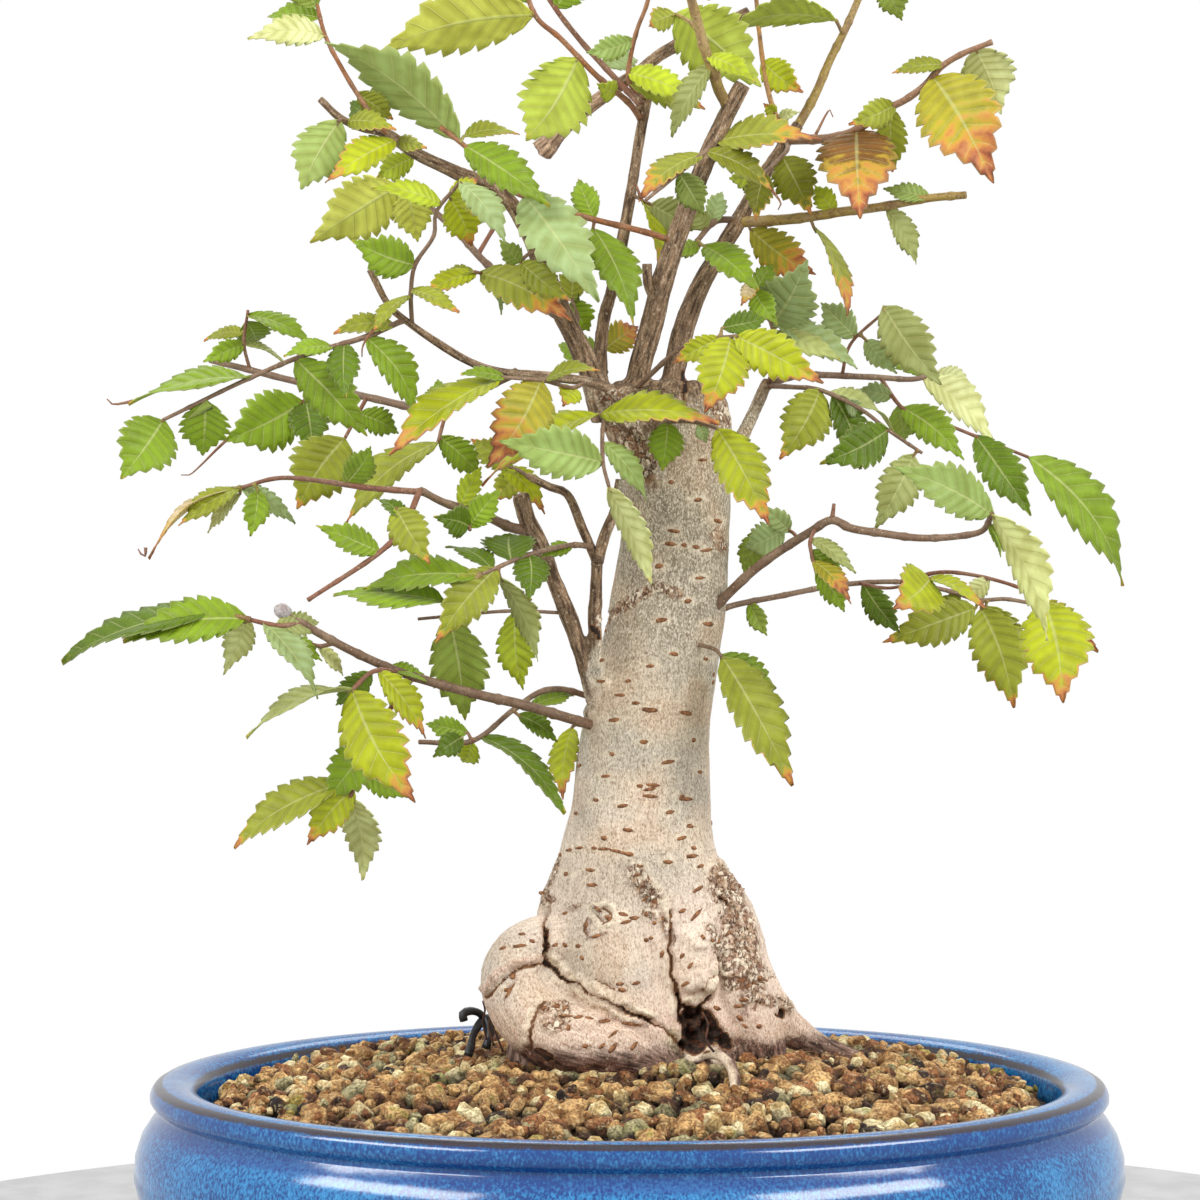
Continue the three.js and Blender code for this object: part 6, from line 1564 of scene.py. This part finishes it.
@dataclass
class Soil:
    """Coarse potting soil: a low dark bed under loose angular grains."""

    half_width: float = 116.4
    wall: tuple[tuple[float, float], ...] = ((0, 15.3), (94.4, 17.3), (120.4, 46), (116.4, 62))
    turns: int = 110
    at_wall: float = 64.5
    at_trunk: float = 75.5
    spacing: float = 5.6
    row_pitch: float = 0.87
    small_grains: int = 520
    chip_shapes: int = 14
    seed: int = 21
    kinds: tuple[GritShare, ...] = (
        GritShare(Grit("grit_tan", paint(228, 184, 122), paint(154, 108, 60)), 0.48),
        GritShare(Grit("grit_brown", paint(172, 114, 68), paint(88, 54, 30)), 0.26),
        GritShare(Grit("grit_pale", paint(255, 240, 190), paint(206, 174, 114)), 0.17),
        GritShare(Grit("grit_grey", paint(190, 180, 134), paint(128, 120, 84)), 0.05),
        GritShare(Grit("grit_dark", paint(90, 60, 42), paint(36, 24, 18)), 0.04),
    )

    def height(self, x: float, y: float) -> float:
        """Gives the soil's height in metres under a place in metres."""
        share = min(1.0, math.hypot(x, y / OVAL) / (self.half_width * MM))
        dip = 2.6 * math.exp(-((x + 0.012) / 0.026) ** 2 - ((y + 0.034) / 0.024) ** 2)
        pile = 2.4 * math.exp(-((x - 0.046) / 0.02) ** 2 - ((y + 0.012) / 0.018) ** 2)
        heap = 3.2 * eased(0.026, 0.06, y)
        return (self.at_wall + (self.at_trunk - self.at_wall) * (1 - share * share) - dip + pile + heap) * MM

    def bed(self) -> bpy.types.Mesh:
        """Spins the soil's body and roughens its top."""
        reaches = [self.half_width * s / 20 for s in range(20, -1, -1)]
        top = [(reach, self.height(reach * MM, 0) / MM - 1.2) for reach in reaches]
        form = spun([*self.wall, *top], self.turns)
        for vert in form.verts:
            if vert.co.z > 0.0625:
                vert.co.z = self.height(vert.co.x, vert.co.y) + (noise.noise(vert.co * 380) * 0.9 - 1.6) * MM
        bmesh.ops.recalc_face_normals(form, faces=form.faces)
        return closed_form(form, "bed")

    @staticmethod
    def chip(draw: random.Random) -> bpy.types.Mesh:
        """Makes one angular grain about one unit wide."""
        form = bmesh.new()
        bmesh.ops.create_cube(form, size=0.8)
        for vert in form.verts:
            vert.co += Vector([draw.uniform(-0.17, 0.17) for _ in range(3)])
        bmesh.ops.bevel(
            form, geom=form.edges[:], offset=draw.uniform(0.14, 0.2), offset_type="OFFSET", segments=1,
            profile=0.5, affect="EDGES", material=-1, clamp_overlap=True,
        )
        for vert in form.verts:
            vert.co += Vector([draw.uniform(-0.035, 0.035) for _ in range(3)])
        return closed_form(form, "chip")

    def spots(self, draw: random.Random) -> list[tuple[Vector, float]]:
        """Gives the grains' places and widths in metres."""
        made = []
        rows = int(2 * self.half_width * OVAL / (self.spacing * self.row_pitch)) + 1
        for row in range(rows):
            y = -self.half_width * OVAL + row * self.spacing * self.row_pitch
            for column in range(int(2 * self.half_width / self.spacing) + 1):
                x = -self.half_width + (column + 0.5 * (row % 2)) * self.spacing
                at = Vector((x + draw.uniform(-1.5, 1.5), y + draw.uniform(-1.5, 1.5), 0)) * MM
                width = draw.choice((5.0, 5.8, 6.4, 7.2, 8.6)) * MM
                if math.hypot(at.x, at.y / OVAL) < self.half_width * MM - width * 0.55:
                    at.z = self.height(at.x, at.y) + draw.uniform(-1.3, 0.6) * MM
                    made.append((at, width))
        for _ in range(self.small_grains):
            bearing, share = draw.uniform(0, math.tau), math.sqrt(draw.random())
            reach = share * (self.half_width - 3)
            at = Vector((math.cos(bearing) * reach, math.sin(bearing) * reach * OVAL, 0)) * MM
            width = draw.uniform(2.2, 3.8) * MM
            at.z = self.height(at.x, at.y) + draw.uniform(1.2, 2.6) * MM
            made.append((at, width))
        return made

    def build(self, skin: BVHTree) -> None:
        """Lays the bed and the grains clear of the wood.

        Args:
            skin: The wood's skin.
        """
        draw = random.Random(self.seed)
        # The bed takes the dark grains' finish: a dark sheet that stands for the shade in the gaps between the
        # grains.
        dark = self.kinds[-1].grit.material()
        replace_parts(placed("soil_bed", smooth_shaded(self.bed()), [dark]), "soil")
        chips = [self.chip(draw) for _ in range(self.chip_shapes)]
        forms = [bmesh.new() for _ in self.kinds]
        for form in forms:
            form.verts.layers.float_color.new("damp")
        weights = [kind.share for kind in self.kinds]
        for at, width in self.spots(draw):
            kind = draw.choices(range(len(self.kinds)), weights)[0]
            spin = Matrix.Rotation(draw.uniform(0, math.tau), 3, Vector([draw.uniform(-1, 1) for _ in range(3)]))
            chip = draw.choice(chips)
            squash = Matrix.Diagonal((width * draw.uniform(0.9, 1.15), width * draw.uniform(0.75, 1.0),
                                      width * draw.uniform(0.65, 0.95)))
            near, normal, _, _ = skin.find_nearest(at)
            if (at - near).dot(normal) < -0.4 * width:
                continue
            form = forms[kind]
            before = len(form.verts)
            form.from_mesh(chip)
            form.verts.ensure_lookup_table()
            verts = form.verts[before:]
            bmesh.ops.transform(form, matrix=Matrix.Translation(at) @ (spin @ squash).to_4x4(), verts=verts)
            damp = form.verts.layers.float_color["damp"]
            for vert in verts:
                # The parts of each grain below the soil's top are painted darker: painted shade between the grains,
                # with some damp.
                sunk = (self.height(vert.co.x, vert.co.y) + 2.2 * MM - vert.co.z) / (2.6 * MM)
                vert[damp] = (min(1.0, max(0.0, sunk)), 0, 0, 1)
        for kind, form in zip(self.kinds, forms):
            mesh = closed_form(form, kind.grit.name)
            finish = dark if kind.grit.name == "grit_dark" else kind.grit.material()
            placed(f"soil_{kind.grit.name}", mesh, [finish])


@dataclass
class Litter:
    """What stands in the soil by the trunk: a bent black tie wire with a stub, and dark rootlets."""

    wire: tuple[tuple[float, float, float], ...] = (
        (464, 1021, 9), (463, 1014, 9), (470, 1011, 10), (479, 1013, 11), (483, 1018, 12), (478, 1026, 10),
        (473, 1036, 8), (471, 1046, 6), (468, 1056, 4),
    )
    stub: tuple[tuple[float, float, float], ...] = ((486, 1016, 12), (490, 1030, 10), (486, 1048, 8))
    wire_radius: float = 1.15
    stub_radius: float = 1.3
    thread_radius: float = 0.32 * MM
    rootlets: tuple[tuple[tuple[float, float, float], ...], ...] = (
        ((483, 1001, 4), (485, 1010, 5), (483, 1022, 5), (487, 1040, 5)),
        ((487, 1004, 4), (490, 1014, 5), (489, 1028, 4), (494, 1046, 3)),
        ((494, 1012, 3), (492, 1022, 3), (497, 1036, 2), (503, 1052, 1)),
        ((702, 1012, -16), (708, 1024, -17), (706, 1040, -18), (714, 1052, -19)),
    )

    def build(self) -> None:
        """Lays the wire and the rootlets."""
        rubber = Plain("black_rubber", paint(48, 50, 54), paint(20, 21, 24), 420, 0.42).material()
        runs = []
        for knots, radius in ((self.wire, self.wire_radius), (self.stub, self.stub_radius)):
            path = seen_path(knots, 1.0 * MM)
            runs.append(Run(path, [radius * MM * (1 + 0.1 * math.sin(7 * i)) for i in range(len(path))]))
        placed("tie_wire", smooth_shaded(tubes("tie_wire", runs, 3)), [rubber])
        dark = Plain("rootlet_brown", paint(92, 58, 38), paint(38, 24, 18), 500, 0.8).material()
        threads = []
        for knots in self.rootlets:
            path = seen_path(knots, 1.0 * MM)
            threads.append(Run(path, [self.thread_radius] * len(path)))
        placed("rootlets", smooth_shaded(tubes("rootlets", threads, 1)), [dark])


@dataclass(frozen=True)
class Tint:
    """A leaf's colour, how dry its edge and tip are, and how far the dryness comes in."""

    blade: tuple[float, ...]
    dry: float
    depth: float


# Besides each leaf's own colour, the letters carry painted light and shade: the dark green D goes on leaves in shade,
# and the pale P, B and L are also put on some shaded leaves as painted light.
TINTS: dict[str, Tint] = {
    "G": Tint(paint(152, 184, 44), 0.85, 0.12),
    "L": Tint(paint(210, 228, 58), 0.6, 0.2),
    "Y": Tint(paint(206, 216, 38), 1.05, 0.42),
    "O": Tint(paint(202, 194, 62), 1.02, 0.95),
    "C": Tint(paint(160, 108, 54), 0.98, 0.95),
    "P": Tint(paint(246, 250, 190), 0.5, 0.25),
    "D": Tint(paint(108, 138, 22), 0.8, 0.12),
    "B": Tint(paint(182, 204, 144), 0.3, 0.12),
    "V": Tint(paint(174, 182, 58), 0.95, 0.28),
    "S": Tint(paint(190, 198, 126), 0.7, 0.12),
    "K": Tint(paint(180, 206, 120), 0.3, 0.12),
    "T": Tint(paint(250, 226, 186), 1.0, 0.6),
    "M": Tint(paint(150, 154, 36), 0.85, 0.4),
    "A": Tint(paint(190, 196, 80), 1.02, 0.66),
    "W": Tint(paint(244, 246, 104), 0.6, 0.2),
}


class StemColour(Enum):
    """The colours of young stems."""

    GREY = paint(122, 96, 74)
    RED = paint(132, 84, 60)
    RUSSET = paint(160, 102, 60)
    ORANGE = paint(180, 128, 62)
    OLIVE = paint(160, 134, 66)
    TAN = paint(152, 112, 82)
    GREEN = paint(158, 154, 66)


SHOOTS = {
    "orange": StemColour.RUSSET, "yellow": StemColour.ORANGE, "centre_shoot": StemColour.OLIVE,
    "right_shoot": StemColour.OLIVE, "lowest": StemColour.RED, "stem_fork": StemColour.RED,
    "left_end_top": StemColour.RUSSET, "across": StemColour.RUSSET, "middle_top": StemColour.RUSSET,
    "red": StemColour.RED, "far": StemColour.OLIVE, "far_upper": StemColour.TAN,
}


WISPS: dict[tuple[str, int], tuple[tuple[float, float], ...]] = {
    ("left_long", 0): ((124, 403), (112, 404), (107, 399)),
    ("low_left_back", 5): ((216, 450), (200, 466), (189, 475), (181, 475)),
    ("rising", 3): ((365, 341), (362, 350), (362, 357)),
    ("centre_twig", 2): ((781, 204), (778, 210)),
    ("stem_fork", 10): ((145, 556), (141, 554), (138, 549)),
    ("centre_twig", 0): ((830, 110), (833, 117)),
    ("centre_twig", 1): ((635, 184), (631, 190)),
}


KNOBS: dict[str, tuple[tuple[float, float, float], ...]] = {
    "lowest": ((290, 615, -54), (276, 608, -57)),
}


@dataclass
class Foliage:
    """A leafy branch: its stems, and serrated leaf blades with sunk veins."""

    thickness: float = 0.28 * MM
    ratio: float = 0.46
    fold: float = 0.24
    arch: float = 0.07
    columns: int = 8
    rows_for_tooth: int = 3
    short_stalk: float = 1.6 * MM
    stalk_radii: tuple[float, ...] = (0.85 * MM, 0.8 * MM, 0.48 * MM, 0.44 * MM, 0.25 * MM)
    wisp_colour: tuple[float, ...] = paint(132, 84, 54)
    knob_colour: tuple[float, ...] = paint(186, 178, 178)
    highest: float = 423.0 * MM
    seed: int = 3

    def stems(self, branch: Branch, shade: StemColour) -> tuple[list[Run], list[Vector], list[tuple[float, ...]]]:
        """Gives the stems' runs, the points along them, and a colour for each run."""
        path = seen_path(branch.main.route, TWIG_STEP)
        runs = [self.run(path, branch.main.widths)]
        sunny = shade in (StemColour.OLIVE, StemColour.TAN)
        colours = [shade.value if sunny or branch.main.widths[0] < 2.4 else StemColour.GREY.value]
        points = list(path)
        for side in branch.sides:
            knots = [EYE.seen(*knot) for knot in side.route]
            knots[0] = min(path, key=lambda point: (point - knots[0]).length)
            twig = smooth_path(knots, TWIG_STEP)
            runs.append(self.run(twig, side.widths))
            colours.append(StemColour.RED.value if shade is StemColour.GREY else shade.value)
            points.extend(twig)
        return runs, points, colours

    @staticmethod
    def run(path: list[Vector], widths: tuple[float, float]) -> Run:
        """Tapers a stem, with a small knot every few millimetres."""
        radii = []
        length = sum((b - a).length for a, b in zip(path, path[1:]))
        for share in shares_along(path):
            knot = max(0.0, 1 - abs(math.remainder(share * length, 9 * MM)) / (1.2 * MM))
            radii.append((widths[0] + (widths[1] - widths[0]) * share) / 2 * MM * (0.94 + 0.2 * knot))
        return Run(path, radii)

    def blade(
        self,
        form: bmesh.types.BMesh,
        base: Vector,
        tip: Vector,
        seen_width: float,
        face: float,
        tint: Tint,
        draw: random.Random,
    ) -> None:
        """Adds one blade as a sheet.

        Args:
            form: The mesh that it is added to.
            base: Where the blade meets its stalk.
            tip: The blade's tip.
            seen_width: Its width as seen from the front.
            face: 1 where its upper face shows, or -1.
            tint: Its colours.
            draw: Random draws.
        """
        axis = tip - base
        length = axis.length
        axis.normalize()
        to_eye = (EYE.place - base).normalized()
        facing = (to_eye - axis * to_eye.dot(axis)).normalized() * face
        width = max(seen_width, self.ratio * length)
        turn = math.acos(min(1.0, seen_width / width))
        turned = [Matrix.Rotation(angle, 3, axis) @ facing for angle in (turn, -turn)]
        normal = turned[0] if turned[0].z >= turned[1].z else turned[1]
        across = normal.cross(axis)
        teeth = 8 if length > 22 * MM else 7 if length > 13 * MM else 5
        rows = self.rows_for_tooth * (teeth + 1)
        droop = draw.uniform(0.0, 0.1)
        twist = draw.uniform(-0.22, 0.22)
        sway = draw.uniform(-0.05, 0.05)
        wave = draw.uniform(0.01, 0.03)
        phase = draw.uniform(0, math.tau)
        curl = draw.uniform(0.02, 0.14)
        shade = draw.uniform(-0.12, 0.12)
        tint_layer = form.verts.layers.float_color["tint"]
        dry_layer = form.verts.layers.float_color["dryness"]
        lopsided = draw.uniform(-0.35, 0.35)
        map_layer = form.loops.layers.uv["vein_map"]
        verts = bmesh.ops.create_grid(form, x_segments=rows, y_segments=self.columns, size=1.0)["verts"]
        spots: dict[bmesh.types.BMVert, tuple[float, float]] = {}
        for vert in verts:
            row = (vert.co.x + 1) / 2 * rows
            v = vert.co.y
            side = abs(v)
            spots[vert] = (row / self.rows_for_tooth, v)
            step = round(row) % self.rows_for_tooth
            share = row / rows
            at_tooth = 0 < round(row) < rows - 1
            reach = {0: 1.03, 1: 0.78, 2: 0.94}[step] if at_tooth else 1.0
            lean = {0: 0.85, 1: 0.1, 2: 0.0}[step] if at_tooth else 0.0
            u = share - 0.17 * math.sin(math.pi * share) * (1 - side ** 0.9) + lean * side ** 6 / rows
            half = width / 2 * math.sin(math.pi * min(1.0, max(0.0, share)) ** 0.8) ** 0.82
            half = max(0.16 * MM, half * (1 - 0.52 * eased(0.56, 0.94, share)))
            out = v * half * (1 - (1 - reach) * side ** 3)
            quilt = math.cos(math.tau * row / self.rows_for_tooth)
            rise = (
                abs(out) * self.fold + self.arch * length * 4 * u * (1 - u)
                - quilt * 0.011 * length * side * (1.15 - side) * math.sin(math.pi * share)
                - curl * half * side ** 4
                - droop * length * max(0.0, u) ** 3
                + wave * length * side ** 2 * math.sin(phase + 7 * u + (1.7 if v > 0 else 0))
                + twist * out * (u - 0.2)
            )
            drift = sway * length * math.sin(math.pi * u)
            vert.co = base + axis * (u * length) + across * (out + drift) + normal * rise
            inward = max(
                eased(1 - tint.depth * 0.8, 1.15, side) * (0.25 + 0.75 * share) * (1 + lopsided * v),
                eased(1 - tint.depth, 1.05, share) * (0.7 + 0.3 * side),
            )
            light = 1 + shade + 0.08 * math.sin(phase + 3 * share)
            vert[tint_layer] = (*(channel * light for channel in tint.blade[:3]), 1)
            vert[dry_layer] = (tint.dry * inward, 0, 0, 1)
        for face_made in {face_made for vert in verts for face_made in vert.link_faces}:
            face_made.material_index = 1
            face_made.smooth = True
            for loop in face_made.loops:
                count, v = spots[loop.vert]
                loop[map_layer].uv = (count / 10, (v + 1) / 2)

    def build(self, name: str, branch: Branch, finishes: Sequence[bpy.types.Material], number: int) -> None:
        """Builds one branch as a piece.

        Args:
            name: The branch's name.
            branch: Its routes and leaves.
            finishes: Young bark, then the blades' upper and under faces.
            number: The branch's number, for its draws.
        """
        draw = random.Random(self.seed * 1000 + number)
        runs, points, colours = self.stems(branch, SHOOTS.get(name, StemColour.GREY))
        if name in KNOBS:
            path = seen_path(KNOBS[name], 0.6 * MM)
            swell = [math.sin(math.pi * (0.08 + 0.84 * share)) ** 0.6 for share in shares_along(path)]
            runs.append(Run(path, [2.1 * MM * size for size in swell]))
            colours.append(self.knob_colour)
        form = bmesh.new()
        tint_layer = form.verts.layers.float_color.new("tint")
        form.verts.layers.float_color.new("dryness")
        form.loops.layers.uv.new("vein_map")
        for leaf, ((base_x, base_y, tip_x, tip_y, width, reach, face), letter) in enumerate(
            zip(branch.leaves, branch.tints)
        ):
            root = min(points, key=lambda point: (EYE.seen(base_x, base_y, point.y / MM) - point).length)
            base = EYE.seen(base_x, base_y, root.y / MM)
            if (base - root).length < self.short_stalk:
                base = root
            tip = EYE.seen(tip_x, tip_y, root.y / MM + reach)
            seen_width = width * (root.y - EYE.place.y) / EYE.focal
            tint = TINTS[letter]
            self.blade(form, base, tip, seen_width, face, tint, draw)
            stalk = root + (root - base) * 0.1
            bend = base + (tip - base).normalized() * 1.6 * MM
            collar = root + (base - root) * 0.2
            middle = (stalk + base) / 2
            runs.append(Run([stalk, collar, middle, base, bend], list(self.stalk_radii)))
            colours.append(blended(StemColour.GREEN.value, StemColour.RED.value, draw.random()))
            if (name, leaf) in WISPS:
                path = [tip + (base - tip) * 0.04]
                path += [EYE.seen(px, py, tip.y / MM) for px, py in WISPS[name, leaf]]
                path = smooth_path(path, TWIG_STEP)
                runs.append(Run(path, [(0.5 - 0.34 * share) * MM for share in shares_along(path)]))
                colours.append(self.wisp_colour)
        sheet = KDTree(len(form.verts))
        for i, vert in enumerate(form.verts):
            sheet.insert(vert.co, i)
        sheet.balance()
        under = bmesh.ops.solidify(form, geom=form.faces[:], thickness=self.thickness)["geom"]
        for part in under:
            if isinstance(part, bmesh.types.BMFace):
                part.material_index = 2
        for vert in form.verts:
            spot, _, away = sheet.find(vert.co)
            if away > 1.2 * self.thickness:
                vert.co = spot + (vert.co - spot) * (self.thickness / away)
        for run, colour in zip(runs, colours):
            before = len(form.verts)
            mesh = tubes("stem", [run], 1 if run.radii[0] < 0.7 * MM else 2)
            form.from_mesh(mesh)
            bpy.data.meshes.remove(mesh)
            form.verts.ensure_lookup_table()
            for vert in form.verts[before:]:
                vert[tint_layer] = (*colour[:3], 1)
                for face_made in vert.link_faces:
                    face_made.smooth = True
        for vert in form.verts:
            vert.co.z = min(vert.co.z, self.highest)
        piece = placed(f"leafy_{name}", closed_form(form, name), finishes)
        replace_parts(piece, f"branch_{name}")


@dataclass
class Studio:
    """The pale floor, the soft light and the camera."""

    room_light: float = 0.84
    room_gloss: float = 0.2
    aim: Vector = field(default_factory=lambda: Vector((0, 0, 0.18)))
    table: tuple[float, float] = (0.314, 0.295)
    table_height: float = 0.012
    sensor: float = 36
    focal: float = 87

    def floor(self) -> None:
        """Lays a pale oval table top."""
        form = bmesh.new()
        bmesh.ops.create_cone(form, cap_ends=True, segments=160, radius1=1.0, radius2=1.0, depth=self.table_height)
        bmesh.ops.scale(form, vec=(*self.table, 1), verts=form.verts)
        bmesh.ops.translate(form, vec=(0, 0, -self.table_height / 2), verts=form.verts)
        top = linked("table_top", closed_form(form, "table_top"))
        pale = Plain("table_paint", paint(186, 186, 186), paint(174, 174, 174), 60, 0.6)
        top.data.materials.append(pale.material())

    def lamp(self, name: str, place: tuple[float, float, float], size: tuple[float, float], power: float) -> None:
        """Hangs a soft lamp that points at the tree."""
        light = bpy.data.lights.new(name, "AREA")
        light.shape = "RECTANGLE"
        light.size, light.size_y = size
        light.energy = power
        lamp = linked(name, light)
        lamp.location = place
        lamp.rotation_euler = (self.aim - Vector(place)).to_track_quat("-Z", "Y").to_euler()

    def build(self) -> None:
        """Sets everything up."""
        self.floor()
        self.lamp("left_box", (-1.05, -0.76, 1.02), (1.0, 0.36), 13)
        self.lamp("right_box", (0.98, -0.84, 1.02), (1.0, 0.36), 13)
        self.lamp("rear_box", (0.0, 0.9, 1.2), (1.0, 0.6), 5)
        scene = bpy.context.scene
        world = bpy.data.worlds.new("white_room")
        world.use_nodes = True
        room = world.node_tree
        backdrop = room.nodes["Background"]
        backdrop.inputs[0].default_value = (1, 1, 1, 1)
        rays = room.nodes.new("ShaderNodeLightPath")
        strength = room.nodes.new("ShaderNodeMapRange")
        strength.inputs["To Min"].default_value = self.room_light
        strength.inputs["To Max"].default_value = 1.0
        either = room.nodes.new("ShaderNodeMath")
        either.operation = "MAXIMUM"
        room.links.new(rays.outputs["Is Camera Ray"], either.inputs[0])
        partly = room.nodes.new("ShaderNodeMath")
        partly.operation = "MULTIPLY"
        partly.inputs[1].default_value = self.room_gloss
        room.links.new(rays.outputs["Is Glossy Ray"], partly.inputs[0])
        room.links.new(partly.outputs[0], either.inputs[1])
        room.links.new(either.outputs[0], strength.inputs["Value"])
        room.links.new(strength.outputs[0], backdrop.inputs[1])
        scene.world = world
        scene.view_settings.view_transform = "Standard"
        lens = bpy.data.cameras.new("camera")
        lens.sensor_width = self.sensor
        lens.lens = self.focal
        camera = linked("camera", lens)
        camera.location = EYE.place
        camera.rotation_euler = (math.radians(90), 0, 0)
        scene.camera = camera


def main() -> None:
    """Builds the dressed tree."""
    logging.basicConfig(level=logging.INFO, format="%(message)s")
    noise.seed_set(NOISE_SEED)
    Studio().build()
    Pot().build(Glaze().material())
    pore = Plain("pore_cork", paint(172, 120, 78), paint(106, 68, 42), 1100, 0.85).material()
    skin = Wood().build(Bark().material(), pore)
    Soil().build(skin)
    Litter().build()
    finishes = [Twig().material(), Blade(BladeFace.UPPER).material(), Blade(BladeFace.UNDER).material()]
    foliage = Foliage()
    for number, (name, branch) in enumerate(BRANCHES.items()):
        foliage.build(name, branch, finishes, number)
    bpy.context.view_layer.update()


if __name__ == "__main__":
    main()
